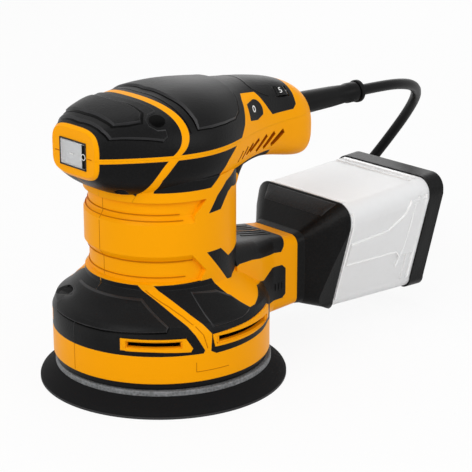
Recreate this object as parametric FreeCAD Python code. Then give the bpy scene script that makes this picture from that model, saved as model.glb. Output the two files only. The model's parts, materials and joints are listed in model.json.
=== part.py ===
"""Random orbital palm sander with a slide-on dust box, as separate pieces that fit and move.

Millimetres, +Z up, +X towards the nose, +Y to the tool's left. The origin is the centre of the
sanding face on the work surface, on the motor's axis.
"""
import FreeCAD, Part
import math
import os

V = FreeCAD.Vector

# ------------------------------------------------------------------ driving dimensions
# sanding pad
PAD_R = 62.5            # hook face, for 125 mm discs
PAD_NECK_R = 54.7       # foam where it meets the backing plate
HOOK_T = 1.2            # hook sheet thickness
FOAM_T = 7.4            # foam thickness
PLATE_R = 54.6          # backing plate
PLATE_T = 2.4
DUST_HOLES = 8
DUST_HOLE_R = 4.5
DUST_HOLE_PCR = 32.5    # radius of the circle of dust holes
PAD_SCREWS = 4
PAD_SCREW_PCR = 12.5
PAD_SCREW_R = 2.0
PAD_SCREW_HEAD_R = 4.0
ORBIT = 1.25            # offset of the pad's axis from the motor's axis

# spindle, bearings and motor
SPINDLE_R = 6.0
FLANGE_R = 18.0
FLANGE_T = 3.4
RUN_GAP = 0.05          # radial clearance of a running fit
PAD_BEARING_R = 14.0
PAD_BEARING_W = 8.0
HUB_WALL = 3.6          # eccentric hub round the pad bearing
SHAFT_R = 5.0
SHAFT_TOP_R = 4.0
LOWER_BEARING_R = 13.0
LOWER_BEARING_W = 8.0
UPPER_BEARING_R = 11.0
UPPER_BEARING_W = 7.0
FAN_R = 45.5
FAN_DISC_T = 2.0
DUST_VANE_H = 8.0
AIR_VANE_H = 6.5
FAN_VANES = 9
STATOR_R = 29.5
STATOR_BORE_R = 16.5
STACK_H = 30.0
COIL_H = 6.0
ARMATURE_R = 15.8
ARMATURE_SLOTS = 12
COMMUTATOR_R = 10.0
COMMUTATOR_H = 10.0
COMMUTATOR_BARS = 24
BRUSH_W = 6.0
BRUSH_H = 8.0
BRUSH_L = 13.0
HOLDER_L = 18.0
HOLDER_WALL = 0.8
AIR_GAP = 0.3           # between pieces that pass each other

# housing
WALL = 2.4              # moulded shell
GRIP_T = 1.1            # rubber over-moulding, let into the shell
SKIRT_R = 54.7
SKIRT_GAP = 3.6         # skirt's lower edge above the backing plate
SKIRT_SIDE_H = 23.4     # upright side of the skirt
COLUMN_R = 37.8
COLUMN_BAND_DEPTH = 2.4
COLUMN_FOOT_Z = 56.0
COLUMN_TOP_Z = 99.6
SPLIT_Z = 122.6         # joint between the top cover and the two body halves
SEAM_BAND = 1.2         # orange line left either side of that joint
NOSE_X = 52.0
HEAD_BOTTOM_Z = 98.8

# duct and dust box
DUCT_END_X = -77.5
DUCT_HALF_W = 18.0
DUCT_BOTTOM_Z = 20.5
DUCT_TOP_Z = 59.0
BOX_GAP = 0.3           # duct face to dust box
BOX_WALL = 1.8
RIM_X = -103.5
BOX_HALF_W = 35.2
CONTAINER_END_X = -163.0
CAP_END_X = -172.0

# controls and cord
WINDOW_HALF_W = 10.1
WINDOW_LOW_Z = 116.7
WINDOW_HIGH_Z = 130.0
DIAL_R = 8.0
DIAL_T = 5.0
CORD_R = 3.0
CORD_Z = 124.0
RELIEF_END_X = -139.0
SCREW_R = 1.6
SCREW_HEAD_R = 3.2
SCREW_HEAD_T = 2.4

# ------------------------------------------------------------------ levels that follow from them
FOAM_Z = HOOK_T
PLATE_Z = FOAM_Z + FOAM_T
PLATE_TOP = PLATE_Z + PLATE_T
SKIRT_Z = PLATE_TOP + SKIRT_GAP
SKIRT_SHOULDER_Z = SKIRT_Z + SKIRT_SIDE_H
SPINDLE_Z = PLATE_TOP + FLANGE_T
PAD_BEARING_Z = SPINDLE_Z + 2.6
PAD_BEARING_TOP = PAD_BEARING_Z + PAD_BEARING_W
HUB_TOP = PAD_BEARING_TOP + 5.0
FAN_Z = HUB_TOP + 0.5
FAN_TOP = FAN_Z + FAN_DISC_T
BOSS_TOP = HUB_TOP + 11.5
LOWER_BEARING_Z = BOSS_TOP + 1.5
LOWER_BEARING_TOP = LOWER_BEARING_Z + LOWER_BEARING_W
ARMATURE_Z = LOWER_BEARING_TOP + 9.5
ARMATURE_TOP = ARMATURE_Z + STACK_H
COMMUTATOR_Z = ARMATURE_TOP + COIL_H + 0.8
COMMUTATOR_TOP = COMMUTATOR_Z + COMMUTATOR_H
UPPER_BEARING_Z = COMMUTATOR_TOP + 1.2
UPPER_BEARING_TOP = UPPER_BEARING_Z + UPPER_BEARING_W
BORE_R = COLUMN_R - COLUMN_BAND_DEPTH - WALL      # inside of the column
CHAMBER_R = SKIRT_R - WALL                        # inside of the skirt

os.makedirs("parts", exist_ok=True)


# ------------------------------------------------------------------ helpers
def cyl(r, z0, z1, x=0.0, y=0.0):
    return Part.makeCylinder(r, z1 - z0, V(x, y, z0))


def ring(r_out, r_in, z0, z1, x=0.0, y=0.0):
    return cyl(r_out, z0, z1, x, y).cut(cyl(r_in, z0 - 1, z1 + 1, x, y))


def rod(r, a, b):
    """Cylinder from point a to point b."""
    a, b = V(*a), V(*b)
    return Part.makeCylinder(r, (b - a).Length, a, b - a)


def box(x0, x1, y0, y1, z0, z1):
    return Part.makeBox(x1 - x0, y1 - y0, z1 - z0, V(x0, y0, z0))


def fuse(shapes):
    shapes = list(shapes)
    out = shapes[0]
    for s in shapes[1:]:
        out = out.fuse(s)
    return out.removeSplitter()


def polygon(points):
    return Part.Face(Part.makePolygon([V(*p) for p in points] + [V(*points[0])]))


def outline(parts_of_edge, lift):
    """Face bounded by lines and three-point arcs.

    Each entry is one corner (a, b) or an arc's (a, b), (a, b) middle and end; lift turns (a, b) into
    a point in space."""
    edges = []
    start = parts_of_edge[0]
    here = start
    for item in parts_of_edge[1:] + [start]:
        if isinstance(item[0], tuple):
            middle, end = item
            edges.append(Part.Arc(lift(here), lift(middle), lift(end)).toShape())
        else:
            end = item
            edges.append(Part.LineSegment(lift(here), lift(end)).toShape())
        here = end
    return Part.Face(Part.Wire(edges))


def side_prism(points, y0, y1):
    """Side view outline (x, z), carried across from y0 to y1."""
    return outline(points, lambda p: V(p[0], y0, p[1])).extrude(V(0, y1 - y0, 0))


def plan_prism(points, z0, z1):
    return outline(points, lambda p: V(p[0], p[1], z0)).extrude(V(0, 0, z1 - z0))


def turned(points, x=0.0, y=0.0):
    """Solid of revolution about a vertical axis from a closed (r, z) profile."""
    face = polygon([(x + r, y, z) for r, z in points])
    return face.revolve(V(x, y, 0), V(0, 0, 1), 360)


def around(shape, count, x=0.0, y=0.0, start=0.0):
    out = []
    for k in range(count):
        s = shape.copy()
        s.rotate(V(x, y, 0), V(0, 0, 1), start + 360.0 * k / count)
        out.append(s)
    return out


def save(name, shape):
    solids = shape.Solids
    out = solids[0] if len(solids) == 1 else Part.makeCompound(solids)
    out.exportStep("parts/" + name + ".step")
    print(name, len(solids), "solid(s)", "valid" if out.isValid() else "NOT VALID",
          round(out.Volume / 1000.0, 2), "cm3")


# ------------------------------------------------------------------ outer form
# head: x, top, bottom, half width, height of the widest line, roundness above and below it
HEAD_STATIONS = [
    (NOSE_X, 135.2, 113.2, 16.4, 124.0, 4.2, 4.2),
    (46.0, 139.6, 107.8, 21.6, 123.5, 2.9, 3.2),
    (36.0, 143.4, 102.4, 28.2, 122.5, 2.5, 2.9),
    (20.0, 146.4, 99.6, 36.5, 121.5, 2.35, 2.7),
    (3.0, 148.2, HEAD_BOTTOM_Z, 40.0, 120.5, 2.3, 2.6),
    (-15.0, 148.4, 99.2, 36.8, 120.0, 2.3, 2.6),
    (-32.0, 147.0, 101.4, 29.5, 119.5, 2.3, 2.6),
    (-50.0, 145.4, 103.6, 22.4, 119.0, 2.4, 2.6),
    (-66.0, 143.2, 102.4, 18.6, 118.5, 2.5, 2.6),
    (-80.0, 139.2, 99.8, 16.8, 117.0, 2.6, 2.8),
    (-89.0, 133.2, 99.2, 14.2, 115.5, 2.6, 2.8),
    (-95.0, 122.0, 106.0, 7.0, 113.5, 2.2, 2.2),
]
SECTION_POINTS = 20


def head_section(x, top, bottom, half, mid, n_up, n_low):
    pts = []
    for k in range(SECTION_POINTS):
        a = 2 * math.pi * k / SECTION_POINTS
        c, s = math.cos(a), math.sin(a)
        n, rise = (n_up, top - mid) if s >= 0 else (n_low, mid - bottom)
        y = half * math.copysign(abs(c) ** (2.0 / n), c)
        z = mid + rise * math.copysign(abs(s) ** (2.0 / n), s)
        pts.append(V(x, y, z))
    curve = Part.BSplineCurve()
    curve.interpolate(pts, PeriodicFlag=True)
    return Part.Wire([curve.toShape()])


def head_form(inset=0.0):
    """The head's closed outer form, or the same form brought in by a wall thickness."""
    wires = []
    last = len(HEAD_STATIONS) - 1
    for k, (x, top, bottom, half, mid, n_up, n_low) in enumerate(HEAD_STATIONS):
        if k == 0:
            x -= inset
        if k == last:
            x += inset
        wires.append(head_section(x, top - inset, bottom + inset, half - inset, mid, n_up, n_low))
    return Part.makeLoft(wires, True, False)


def body_turned(inset=0.0):
    """Skirt and column, turned about the motor's axis."""
    r, c = SKIRT_R - inset, COLUMN_R - inset
    z0 = SKIRT_Z if inset == 0 else SKIRT_Z - 1
    s = SKIRT_SHOULDER_Z
    profile = [(0, z0), (r, z0), (r, s), (r - 1.9, s + 4.6 - inset * 0.6), (r - 6.9, s + 8.2 - inset * 0.8),
               (c, COLUMN_FOOT_Z - inset * 0.7), (c, COLUMN_TOP_Z + 10), (0, COLUMN_TOP_Z + 10)]
    return turned(profile)


def rounded_section(x, half, z0, z1, corner):
    pts = [(-half + corner, z0), (half - corner, z0),
           ((half - corner * 0.293, z0 + corner * 0.293), (half, z0 + corner)),
           (half, z1 - corner),
           ((half - corner * 0.293, z1 - corner * 0.293), (half - corner, z1)),
           (-half + corner, z1),
           ((-half + corner * 0.293, z1 - corner * 0.293), (-half, z1 - corner)),
           (-half, z0 + corner),
           ((-half + corner * 0.293, z0 + corner * 0.293), (-half + corner, z0))]
    edges = []
    here = pts[0]
    for item in pts[1:]:
        if isinstance(item[0], tuple):
            m, e = item
            edges.append(Part.Arc(V(x, *here), V(x, *m), V(x, *e)).toShape())
            here = e
        else:
            edges.append(Part.LineSegment(V(x, *here), V(x, *item)).toShape())
            here = item
    return Part.Wire(edges)


def duct_form(inset=0.0):
    i = inset
    wires = [rounded_section(DUCT_END_X, DUCT_HALF_W - i, DUCT_BOTTOM_Z + i, DUCT_TOP_Z - i, 5.0 - i * 0.5),
             rounded_section(-60.0, DUCT_HALF_W + 0.8 - i, DUCT_BOTTOM_Z - 1 + i, DUCT_TOP_Z + 2.5 - i,
                             6.0 - i * 0.5),
             rounded_section(-44.0, DUCT_HALF_W + 8.0 - i, SKIRT_Z + 2 + i, DUCT_TOP_Z + 5.5 - i,
                             9.0 - i * 0.5),
             rounded_section(-24.0, DUCT_HALF_W + 12.5 - i, SKIRT_Z + 1 + i, DUCT_TOP_Z + 8.5 - i,
                             11.0 - i * 0.5)]
    return Part.makeLoft(wires, True, True)


def arch_form(inset=0.0):
    """Web that carries the back of the column up into the underside of the tail."""
    i = inset
    side = side_prism([(-20.0, 82.0 + i), (-COLUMN_R + 0.8 + i, 82.0 + i), (-COLUMN_R - 0.5 + i, 89.0),
                       ((-41.0 + i, 97.5 + i * 0.5), (-48.0, 103.2 + i)), (-48.0, 112.0), (-20.0, 112.0)],
                       -40, 40)
    w = 13.0 - i
    plan = plan_prism([(-18.0, w), (-18.0, -w), (-40.0, -w), (-50.0, -w + 4), (-50.0, w - 4), (-40.0, w)],
                      78, 115)
    return side.common(plan)


def sector(r_out, r_in, z0, z1, a0, a1):
    """Part of a ring between two angles in degrees."""
    face = polygon([(r_in, 0, z0), (r_out, 0, z0), (r_out, 0, z1), (r_in, 0, z1)])
    piece = face.revolve(V(0, 0, 0), V(0, 0, 1), a1 - a0)
    piece.rotate(V(0, 0, 0), V(0, 0, 1), a0)
    return piece


# ------------------------------------------------------------------ sanding pad
def pad_holes(z0, z1, screw_r):
    holes = around(cyl(DUST_HOLE_R, z0 - 1, z1 + 1, DUST_HOLE_PCR, ORBIT), DUST_HOLES, 0, ORBIT, 22.5)
    screws = around(cyl(screw_r, z0 - 1, z1 + 1, PAD_SCREW_PCR, ORBIT), PAD_SCREWS, 0, ORBIT, 45.0)
    return Part.makeCompound(holes + screws)


def make_pad():
    hook = cyl(PAD_R, 0, FOAM_Z, 0, ORBIT)
    save("hook_face", hook.cut(pad_holes(0, FOAM_Z, PAD_SCREW_HEAD_R + 0.3)))

    foam = turned([(0, FOAM_Z), (PAD_R, FOAM_Z), (PAD_R - 0.4, FOAM_Z + 0.9),
                   (PAD_NECK_R + 0.8, PLATE_Z - 0.8),
                   (PAD_NECK_R, PLATE_Z), (0, PLATE_Z)], 0, ORBIT)
    save("foam_pad", foam.cut(pad_holes(FOAM_Z, PLATE_Z, PAD_SCREW_HEAD_R + 0.3)))

    plate = turned([(0, PLATE_Z), (PLATE_R, PLATE_Z), (PLATE_R, PLATE_TOP - 0.5),
                    (PLATE_R - 0.5, PLATE_TOP),
                    (0, PLATE_TOP)], 0, ORBIT)
    save("backing_plate", plate.cut(pad_holes(PLATE_Z, PLATE_TOP, PAD_SCREW_R + 0.2)))

    spindle = fuse([cyl(FLANGE_R, PLATE_TOP, SPINDLE_Z, 0, ORBIT),
                    cyl(SPINDLE_R + 2.5, SPINDLE_Z, PAD_BEARING_Z, 0, ORBIT),
                    cyl(SPINDLE_R - RUN_GAP, PAD_BEARING_Z, PAD_BEARING_TOP + 2.0, 0, ORBIT)])
    groove = ring(SPINDLE_R + 1, SPINDLE_R - 0.7, PAD_BEARING_TOP + 0.2, PAD_BEARING_TOP + 1.2, 0, ORBIT)
    taps = around(cyl(PAD_SCREW_R, PLATE_TOP - 1, SPINDLE_Z + 1, PAD_SCREW_PCR, ORBIT), PAD_SCREWS, 0,
                  ORBIT, 45.0)
    save("pad_spindle", spindle.cut(groove).cut(Part.makeCompound(taps)))
    save("retaining_ring", ring(SPINDLE_R + 2.0, SPINDLE_R - 0.7, PAD_BEARING_TOP + 0.2,
                                PAD_BEARING_TOP + 1.2, 0, ORBIT))

    screw = fuse([cyl(PAD_SCREW_HEAD_R, PLATE_Z - 2.6, PLATE_Z, PAD_SCREW_PCR, ORBIT),
                  cyl(PAD_SCREW_R, PLATE_Z, SPINDLE_Z, PAD_SCREW_PCR, ORBIT)])
    screw = screw.cut(box(PAD_SCREW_PCR - 2.6, PAD_SCREW_PCR + 2.6, ORBIT - 0.5, ORBIT + 0.5, PLATE_Z - 3,
                          PLATE_Z - 1.2))
    screw = screw.cut(box(PAD_SCREW_PCR - 0.5, PAD_SCREW_PCR + 0.5, ORBIT - 2.6, ORBIT + 2.6, PLATE_Z - 3,
                          PLATE_Z - 1.2))
    save("pad_screws", Part.makeCompound(around(screw, PAD_SCREWS, 0, ORBIT, 45.0)))


# ------------------------------------------------------------------ eccentric, fan and motor
def bearing(r_in, r_out, z0, width, x=0.0, y=0.0):
    """Ball bearing with its shields let into both faces."""
    race = (r_out - r_in) * 0.24
    body = turned([(r_in, z0), (r_in + race, z0), (r_in + race, z0 + 0.5), (r_out - race, z0 + 0.5),
                   (r_out - race, z0), (r_out, z0), (r_out, z0 + width), (r_out - race, z0 + width),
                   (r_out - race, z0 + width - 0.5), (r_in + race, z0 + width - 0.5),
                   (r_in + race, z0 + width),
                   (r_in, z0 + width)], x, y)
    return body


HUB_R = PAD_BEARING_R + HUB_WALL
BOSS_R = SHAFT_R + 4.0
HUB_Z = PAD_BEARING_Z - 0.6
SHAFT_SEAT_Z = HUB_TOP - 1.5
WEIGHT_R = 35.5


def make_drive():
    save("pad_bearing", bearing(SPINDLE_R, PAD_BEARING_R, PAD_BEARING_Z, PAD_BEARING_W, 0, ORBIT))

    hub = fuse([cyl(HUB_R, HUB_Z, HUB_TOP, 0, ORBIT), cyl(BOSS_R, HUB_TOP, BOSS_TOP)])
    hub = hub.cut(cyl(PAD_BEARING_R, HUB_Z - 1, PAD_BEARING_TOP, 0, ORBIT))
    hub = hub.cut(cyl(SPINDLE_R + 4.0, PAD_BEARING_TOP - 1, PAD_BEARING_TOP + 2.5, 0, ORBIT))
    hub = hub.cut(cyl(SHAFT_R, SHAFT_SEAT_Z, BOSS_TOP + 1))
    save("eccentric_hub", hub)

    weight = sector(WEIGHT_R, 10, HUB_Z + 0.6, HUB_TOP - 2.5, 195, 345)
    weight = weight.cut(cyl(HUB_R, HUB_Z - 1, HUB_TOP + 1, 0, ORBIT))
    save("counterweight", weight)

    disc = fuse([ring(FAN_R, BOSS_R, FAN_Z, FAN_TOP), ring(BOSS_R + 4.0, BOSS_R, HUB_TOP, FAN_TOP + 5.0)])
    low = box(WEIGHT_R + 1.5, FAN_R - 1.4, -0.8, 0.8, FAN_Z - DUST_VANE_H, FAN_Z)
    low.rotate(V((WEIGHT_R + FAN_R) / 2, 0, 0), V(0, 0, 1), 28)
    high = box(BOSS_R + 6.0, FAN_R - 1.0, -0.8, 0.8, FAN_TOP, FAN_TOP + AIR_VANE_H)
    high.rotate(V((BOSS_R + FAN_R) / 2, 0, 0), V(0, 0, 1), 12)
    save("fan_wheel", fuse([disc] + around(low, FAN_VANES) + around(high, FAN_VANES)))

    save("motor_shaft", fuse([cyl(SHAFT_R, SHAFT_SEAT_Z, COMMUTATOR_Z),
                              cyl(SHAFT_TOP_R, COMMUTATOR_Z, UPPER_BEARING_TOP + 0.5)]))

    slot = box(ARMATURE_R - 4.5, ARMATURE_R + 1, -1.1, 1.1, ARMATURE_Z - 1, ARMATURE_TOP + 1)
    core = ring(ARMATURE_R, SHAFT_R, ARMATURE_Z, ARMATURE_TOP)
    save("armature_core", core.cut(Part.makeCompound(around(slot, ARMATURE_SLOTS))))
    bar = box(ARMATURE_R - 4.5, ARMATURE_R - 1.0, -1.1, 1.1, ARMATURE_Z, ARMATURE_TOP)
    ends = [ring(ARMATURE_R - 1.3, SHAFT_R, ARMATURE_Z - COIL_H, ARMATURE_Z),
            ring(ARMATURE_R - 1.3, SHAFT_R, ARMATURE_TOP, ARMATURE_TOP + COIL_H)]
    save("armature_winding", fuse(ends + around(bar, ARMATURE_SLOTS)))

    slit = box(COMMUTATOR_R - 0.9, COMMUTATOR_R + 1, -0.25, 0.25, COMMUTATOR_Z - 1, COMMUTATOR_TOP + 1)
    copper = ring(COMMUTATOR_R, SHAFT_TOP_R, COMMUTATOR_Z, COMMUTATOR_TOP)
    save("commutator", copper.cut(Part.makeCompound(around(slit, COMMUTATOR_BARS))))


POLE_HALF_W = 12.0
YOKE_IN_R = STATOR_R - 5.5


def make_stator():
    yoke = ring(STATOR_R, YOKE_IN_R, ARMATURE_Z, ARMATURE_TOP)
    pole_band = ring(YOKE_IN_R + 0.5, STATOR_BORE_R, ARMATURE_Z, ARMATURE_TOP)
    poles = pole_band.common(box(-STATOR_R, STATOR_R, -POLE_HALF_W, POLE_HALF_W, ARMATURE_Z, ARMATURE_TOP))
    save("stator_core", fuse([yoke, poles]))
    coil = ring(YOKE_IN_R, STATOR_BORE_R + 0.8, ARMATURE_Z - COIL_H + 0.4, ARMATURE_TOP + COIL_H - 0.4)
    room = box(-STATOR_R, STATOR_R, -POLE_HALF_W - 0.2, POLE_HALF_W + 0.2, ARMATURE_Z - 0.2,
               ARMATURE_TOP + 0.2)
    save("field_coils", coil.cut(room))

    save("lower_bearing", bearing(SHAFT_R + RUN_GAP, LOWER_BEARING_R, LOWER_BEARING_Z, LOWER_BEARING_W))
    save("upper_bearing", bearing(SHAFT_TOP_R + RUN_GAP, UPPER_BEARING_R, UPPER_BEARING_Z, UPPER_BEARING_W))


BRUSH_Z = (COMMUTATOR_Z + COMMUTATOR_TOP) / 2
HOLDER_Y = COMMUTATOR_R + 2.0
BRUSH_FACE_Y = COMMUTATOR_R + AIR_GAP / 2
HOLDER_HALF_H = BRUSH_H / 2 + HOLDER_WALL


def make_brushes():
    w, h = BRUSH_W / 2, BRUSH_H / 2
    tube = box(-w - HOLDER_WALL, w + HOLDER_WALL, HOLDER_Y, HOLDER_Y + HOLDER_L, BRUSH_Z - HOLDER_HALF_H,
               BRUSH_Z + HOLDER_HALF_H)
    tube = tube.cut(box(-w, w, HOLDER_Y - 1, HOLDER_Y + HOLDER_L - HOLDER_WALL, BRUSH_Z - h, BRUSH_Z + h))
    brush = box(-w, w, BRUSH_FACE_Y, BRUSH_FACE_Y + BRUSH_L, BRUSH_Z - h, BRUSH_Z + h)
    back = BRUSH_FACE_Y + BRUSH_L
    far = HOLDER_Y + HOLDER_L - HOLDER_WALL
    spring = rod(w - 0.2, (0, back, BRUSH_Z), (0, far, BRUSH_Z)).cut(rod(w - 0.9, (0, back, BRUSH_Z),
                                                                         (0, far, BRUSH_Z)))
    for name, one in (("brush_holders", tube), ("carbon_brushes", brush), ("brush_springs", spring)):
        other = one.copy()
        other.rotate(V(0, 0, 0), V(0, 0, 1), 180)
        save(name, Part.makeCompound([one, other]))


# ------------------------------------------------------------------ switch
MODULE_X = NOSE_X - WALL          # back of the nose wall, where the module's flange sits
PIVOT_X = MODULE_X - 5.0
ROCKER_HALF_W = WINDOW_HALF_W - 1.9
ROCKER_LOW_Z = WINDOW_LOW_Z + 1.3
ROCKER_HIGH_Z = WINDOW_HIGH_Z - 1.3
ROCKER_TILT = 6.0


def make_switch():
    flange = box(MODULE_X - 2.4, MODULE_X, -WINDOW_HALF_W - 1.5, WINDOW_HALF_W + 1.5, WINDOW_LOW_Z - 1.3,
                 WINDOW_HIGH_Z + 1.3)
    case = box(MODULE_X - 19.0, MODULE_X - 2.4, -WINDOW_HALF_W + 0.6, WINDOW_HALF_W - 0.6,
               WINDOW_LOW_Z - 1.0, WINDOW_HIGH_Z + 1.0)
    well = box(PIVOT_X - 1.8, MODULE_X + 1, -WINDOW_HALF_W + 1.2, WINDOW_HALF_W - 1.2, ROCKER_LOW_Z - 0.4,
               ROCKER_HIGH_Z + 0.4)
    pin_room = cyl(1.2 + RUN_GAP, ROCKER_LOW_Z - 1.5, ROCKER_HIGH_Z + 1.5, PIVOT_X, 0)
    tabs = [box(MODULE_X - 25.0, MODULE_X - 19.0, y - 0.4, y + 0.4, WINDOW_LOW_Z + 3, WINDOW_HIGH_Z - 3)
            for y in (-5.0, 5.0)]
    save("switch_module", fuse([flange, case] + tabs).cut(well).cut(pin_room))

    face = MODULE_X - 0.2
    block = plan_prism([(PIVOT_X - 0.6, -ROCKER_HALF_W), (face, -ROCKER_HALF_W),
                        ((face - 0.7, 0.0), (face, ROCKER_HALF_W)),
                        (PIVOT_X - 0.6, ROCKER_HALF_W)], ROCKER_LOW_Z, ROCKER_HIGH_Z)
    rocker = fuse([block, cyl(1.2, ROCKER_LOW_Z - 1.3, ROCKER_HIGH_Z + 1.3, PIVOT_X, 0)])
    rocker.rotate(V(PIVOT_X, 0, 0), V(0, 0, 1), -ROCKER_TILT)
    save("switch_rocker", rocker)

    frame = box(MODULE_X + 1.0, MODULE_X + 2.0, -WINDOW_HALF_W, WINDOW_HALF_W, WINDOW_LOW_Z, WINDOW_HIGH_Z)
    bulge = box(MODULE_X + 2.0, MODULE_X + 2.8, -WINDOW_HALF_W + 0.8, WINDOW_HALF_W - 0.8,
                WINDOW_LOW_Z + 0.8, WINDOW_HIGH_Z - 0.8)
    save("switch_boot", fuse([frame, bulge]))


# ------------------------------------------------------------------ speed dial
DIAL_X = -67.5
DIAL_LEAN = math.radians(48.0)
# from the wheel's centre out through the cover
DIAL_OUT = V(0, math.sin(DIAL_LEAN), math.cos(DIAL_LEAN))
DIAL_AXIS = V(0, -math.cos(DIAL_LEAN), math.sin(DIAL_LEAN))
DIAL_RIM = V(DIAL_X, 13.8, 137.1)                               # where the rim meets the tail's shoulder
DIAL_CENTRE = DIAL_RIM - DIAL_OUT * (DIAL_R - 1.0)

REGULATOR_R = 3.6
REGULATOR_L = 3.3


def on_dial_axis(r, a, b):
    start = DIAL_CENTRE + DIAL_AXIS * a
    return Part.makeCylinder(r, b - a, start, DIAL_AXIS)


def make_dial():
    h = DIAL_T / 2
    wheel = on_dial_axis(DIAL_R, -h, h).cut(on_dial_axis(1.5 + RUN_GAP, -h - 1, h + 1))
    notch_at = DIAL_CENTRE + DIAL_OUT * (DIAL_R + 0.4)
    notches = []
    for k in range(18):
        cutter = Part.makeCylinder(0.8, DIAL_T + 2, notch_at - DIAL_AXIS * (h + 1), DIAL_AXIS)
        cutter.rotate(DIAL_CENTRE, DIAL_AXIS, 20.0 * k)
        notches.append(cutter)
    save("speed_dial", wheel.cut(Part.makeCompound(notches)))
    save("speed_regulator", fuse([on_dial_axis(REGULATOR_R, h + AIR_GAP, h + REGULATOR_L),
                                  on_dial_axis(1.5, -h, h + 1.0)]))


# ------------------------------------------------------------------ cord entry
CLAMP_X0, CLAMP_X1 = -83.0, -77.0
RELIEF_RIB_X = -86.0                  # rib the relief's flange bears on
SHELF_TOP = CORD_Z - CORD_R


def make_cord_entry():
    sleeve = Part.makeCone(6.0, 4.9, 36.0, V(-100.0, 0, CORD_Z), V(-1, 0, 0))
    relief = fuse([rod(6.0, (-84.0, 0, CORD_Z), (-100.0, 0, CORD_Z)), sleeve,
                   rod(8.0, (-84.0, 0, CORD_Z), (RELIEF_RIB_X, 0, CORD_Z)),
                   rod(5.0, (-136.0, 0, CORD_Z), (-136.6, 0, CORD_Z)),
                   rod(6.1, (-136.0, 0, CORD_Z), (RELIEF_END_X, 0, CORD_Z))])
    save("strain_relief", relief.cut(rod(CORD_R, (-80.0, 0, CORD_Z), (-145.0, 0, CORD_Z))))
    save("inner_cord", rod(CORD_R, (-76.0, 0, CORD_Z), (RELIEF_END_X, 0, CORD_Z)))
    top = CORD_Z + CORD_R
    holes = [cyl(1.3, SHELF_TOP - 5, top + 9, (CLAMP_X0 + CLAMP_X1) / 2, y) for y in (-6.5, 6.5)]
    plate = box(CLAMP_X0, CLAMP_X1, -9.0, 9.0, top - 1.0,
                top + 1.6).cut(rod(CORD_R, (-90, 0, CORD_Z), (-70, 0, CORD_Z)))
    save("cord_clamp", plate.cut(Part.makeCompound(holes)))
    screws = [fuse([cyl(1.3, SHELF_TOP - 3.0, top + 1.6, (CLAMP_X0 + CLAMP_X1) / 2, y),
                    cyl(2.4, top + 1.6, top + 3.2, (CLAMP_X0 + CLAMP_X1) / 2, y)]) for y in (-6.5, 6.5)]
    save("clamp_screws", Part.makeCompound(screws))


# ------------------------------------------------------------------ cord
COIL_AT = (-232.0, -112.0)
COIL_MID_R = 35.0
COIL_TURN_W = 3                       # turns side by side
COIL_HIGH = 3                         # turns on each other
TIE_T = 0.8
TIE_AT = 315.0                        # angles round the coil, seen from above
PLUG_AT = 155.0
PLUG_SLEEVE_L = 13.0                  # the plug's lead runs on from the inner turn
PLUG_L = 34.0
PLUG_W = 35.0
PLUG_T = 14.0
PIN_R = 2.4
PIN_L = 19.0
PIN_PITCH = 19.0
# runs from the strain relief, down past the dust box, to the coil on the floor
CORD_ROUTE = [(RELIEF_END_X, 0.0, CORD_Z), (-157.0, 0.0, 123.9), (-175.0, -2.2, 122.2),
              (-192.5, -8.0, 117.6),
              (-207.0, -18.5, 108.5), (-214.5, -32.0, 94.5), (-215.0, -46.0, 77.0), (-210.5, -58.5, 58.5),
              (-204.0, -70.5, 42.0), (-197.5, -83.5, 29.0), (-192.8, -97.5, 19.8), (-191.0, -112.0, 15.8)]


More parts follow.
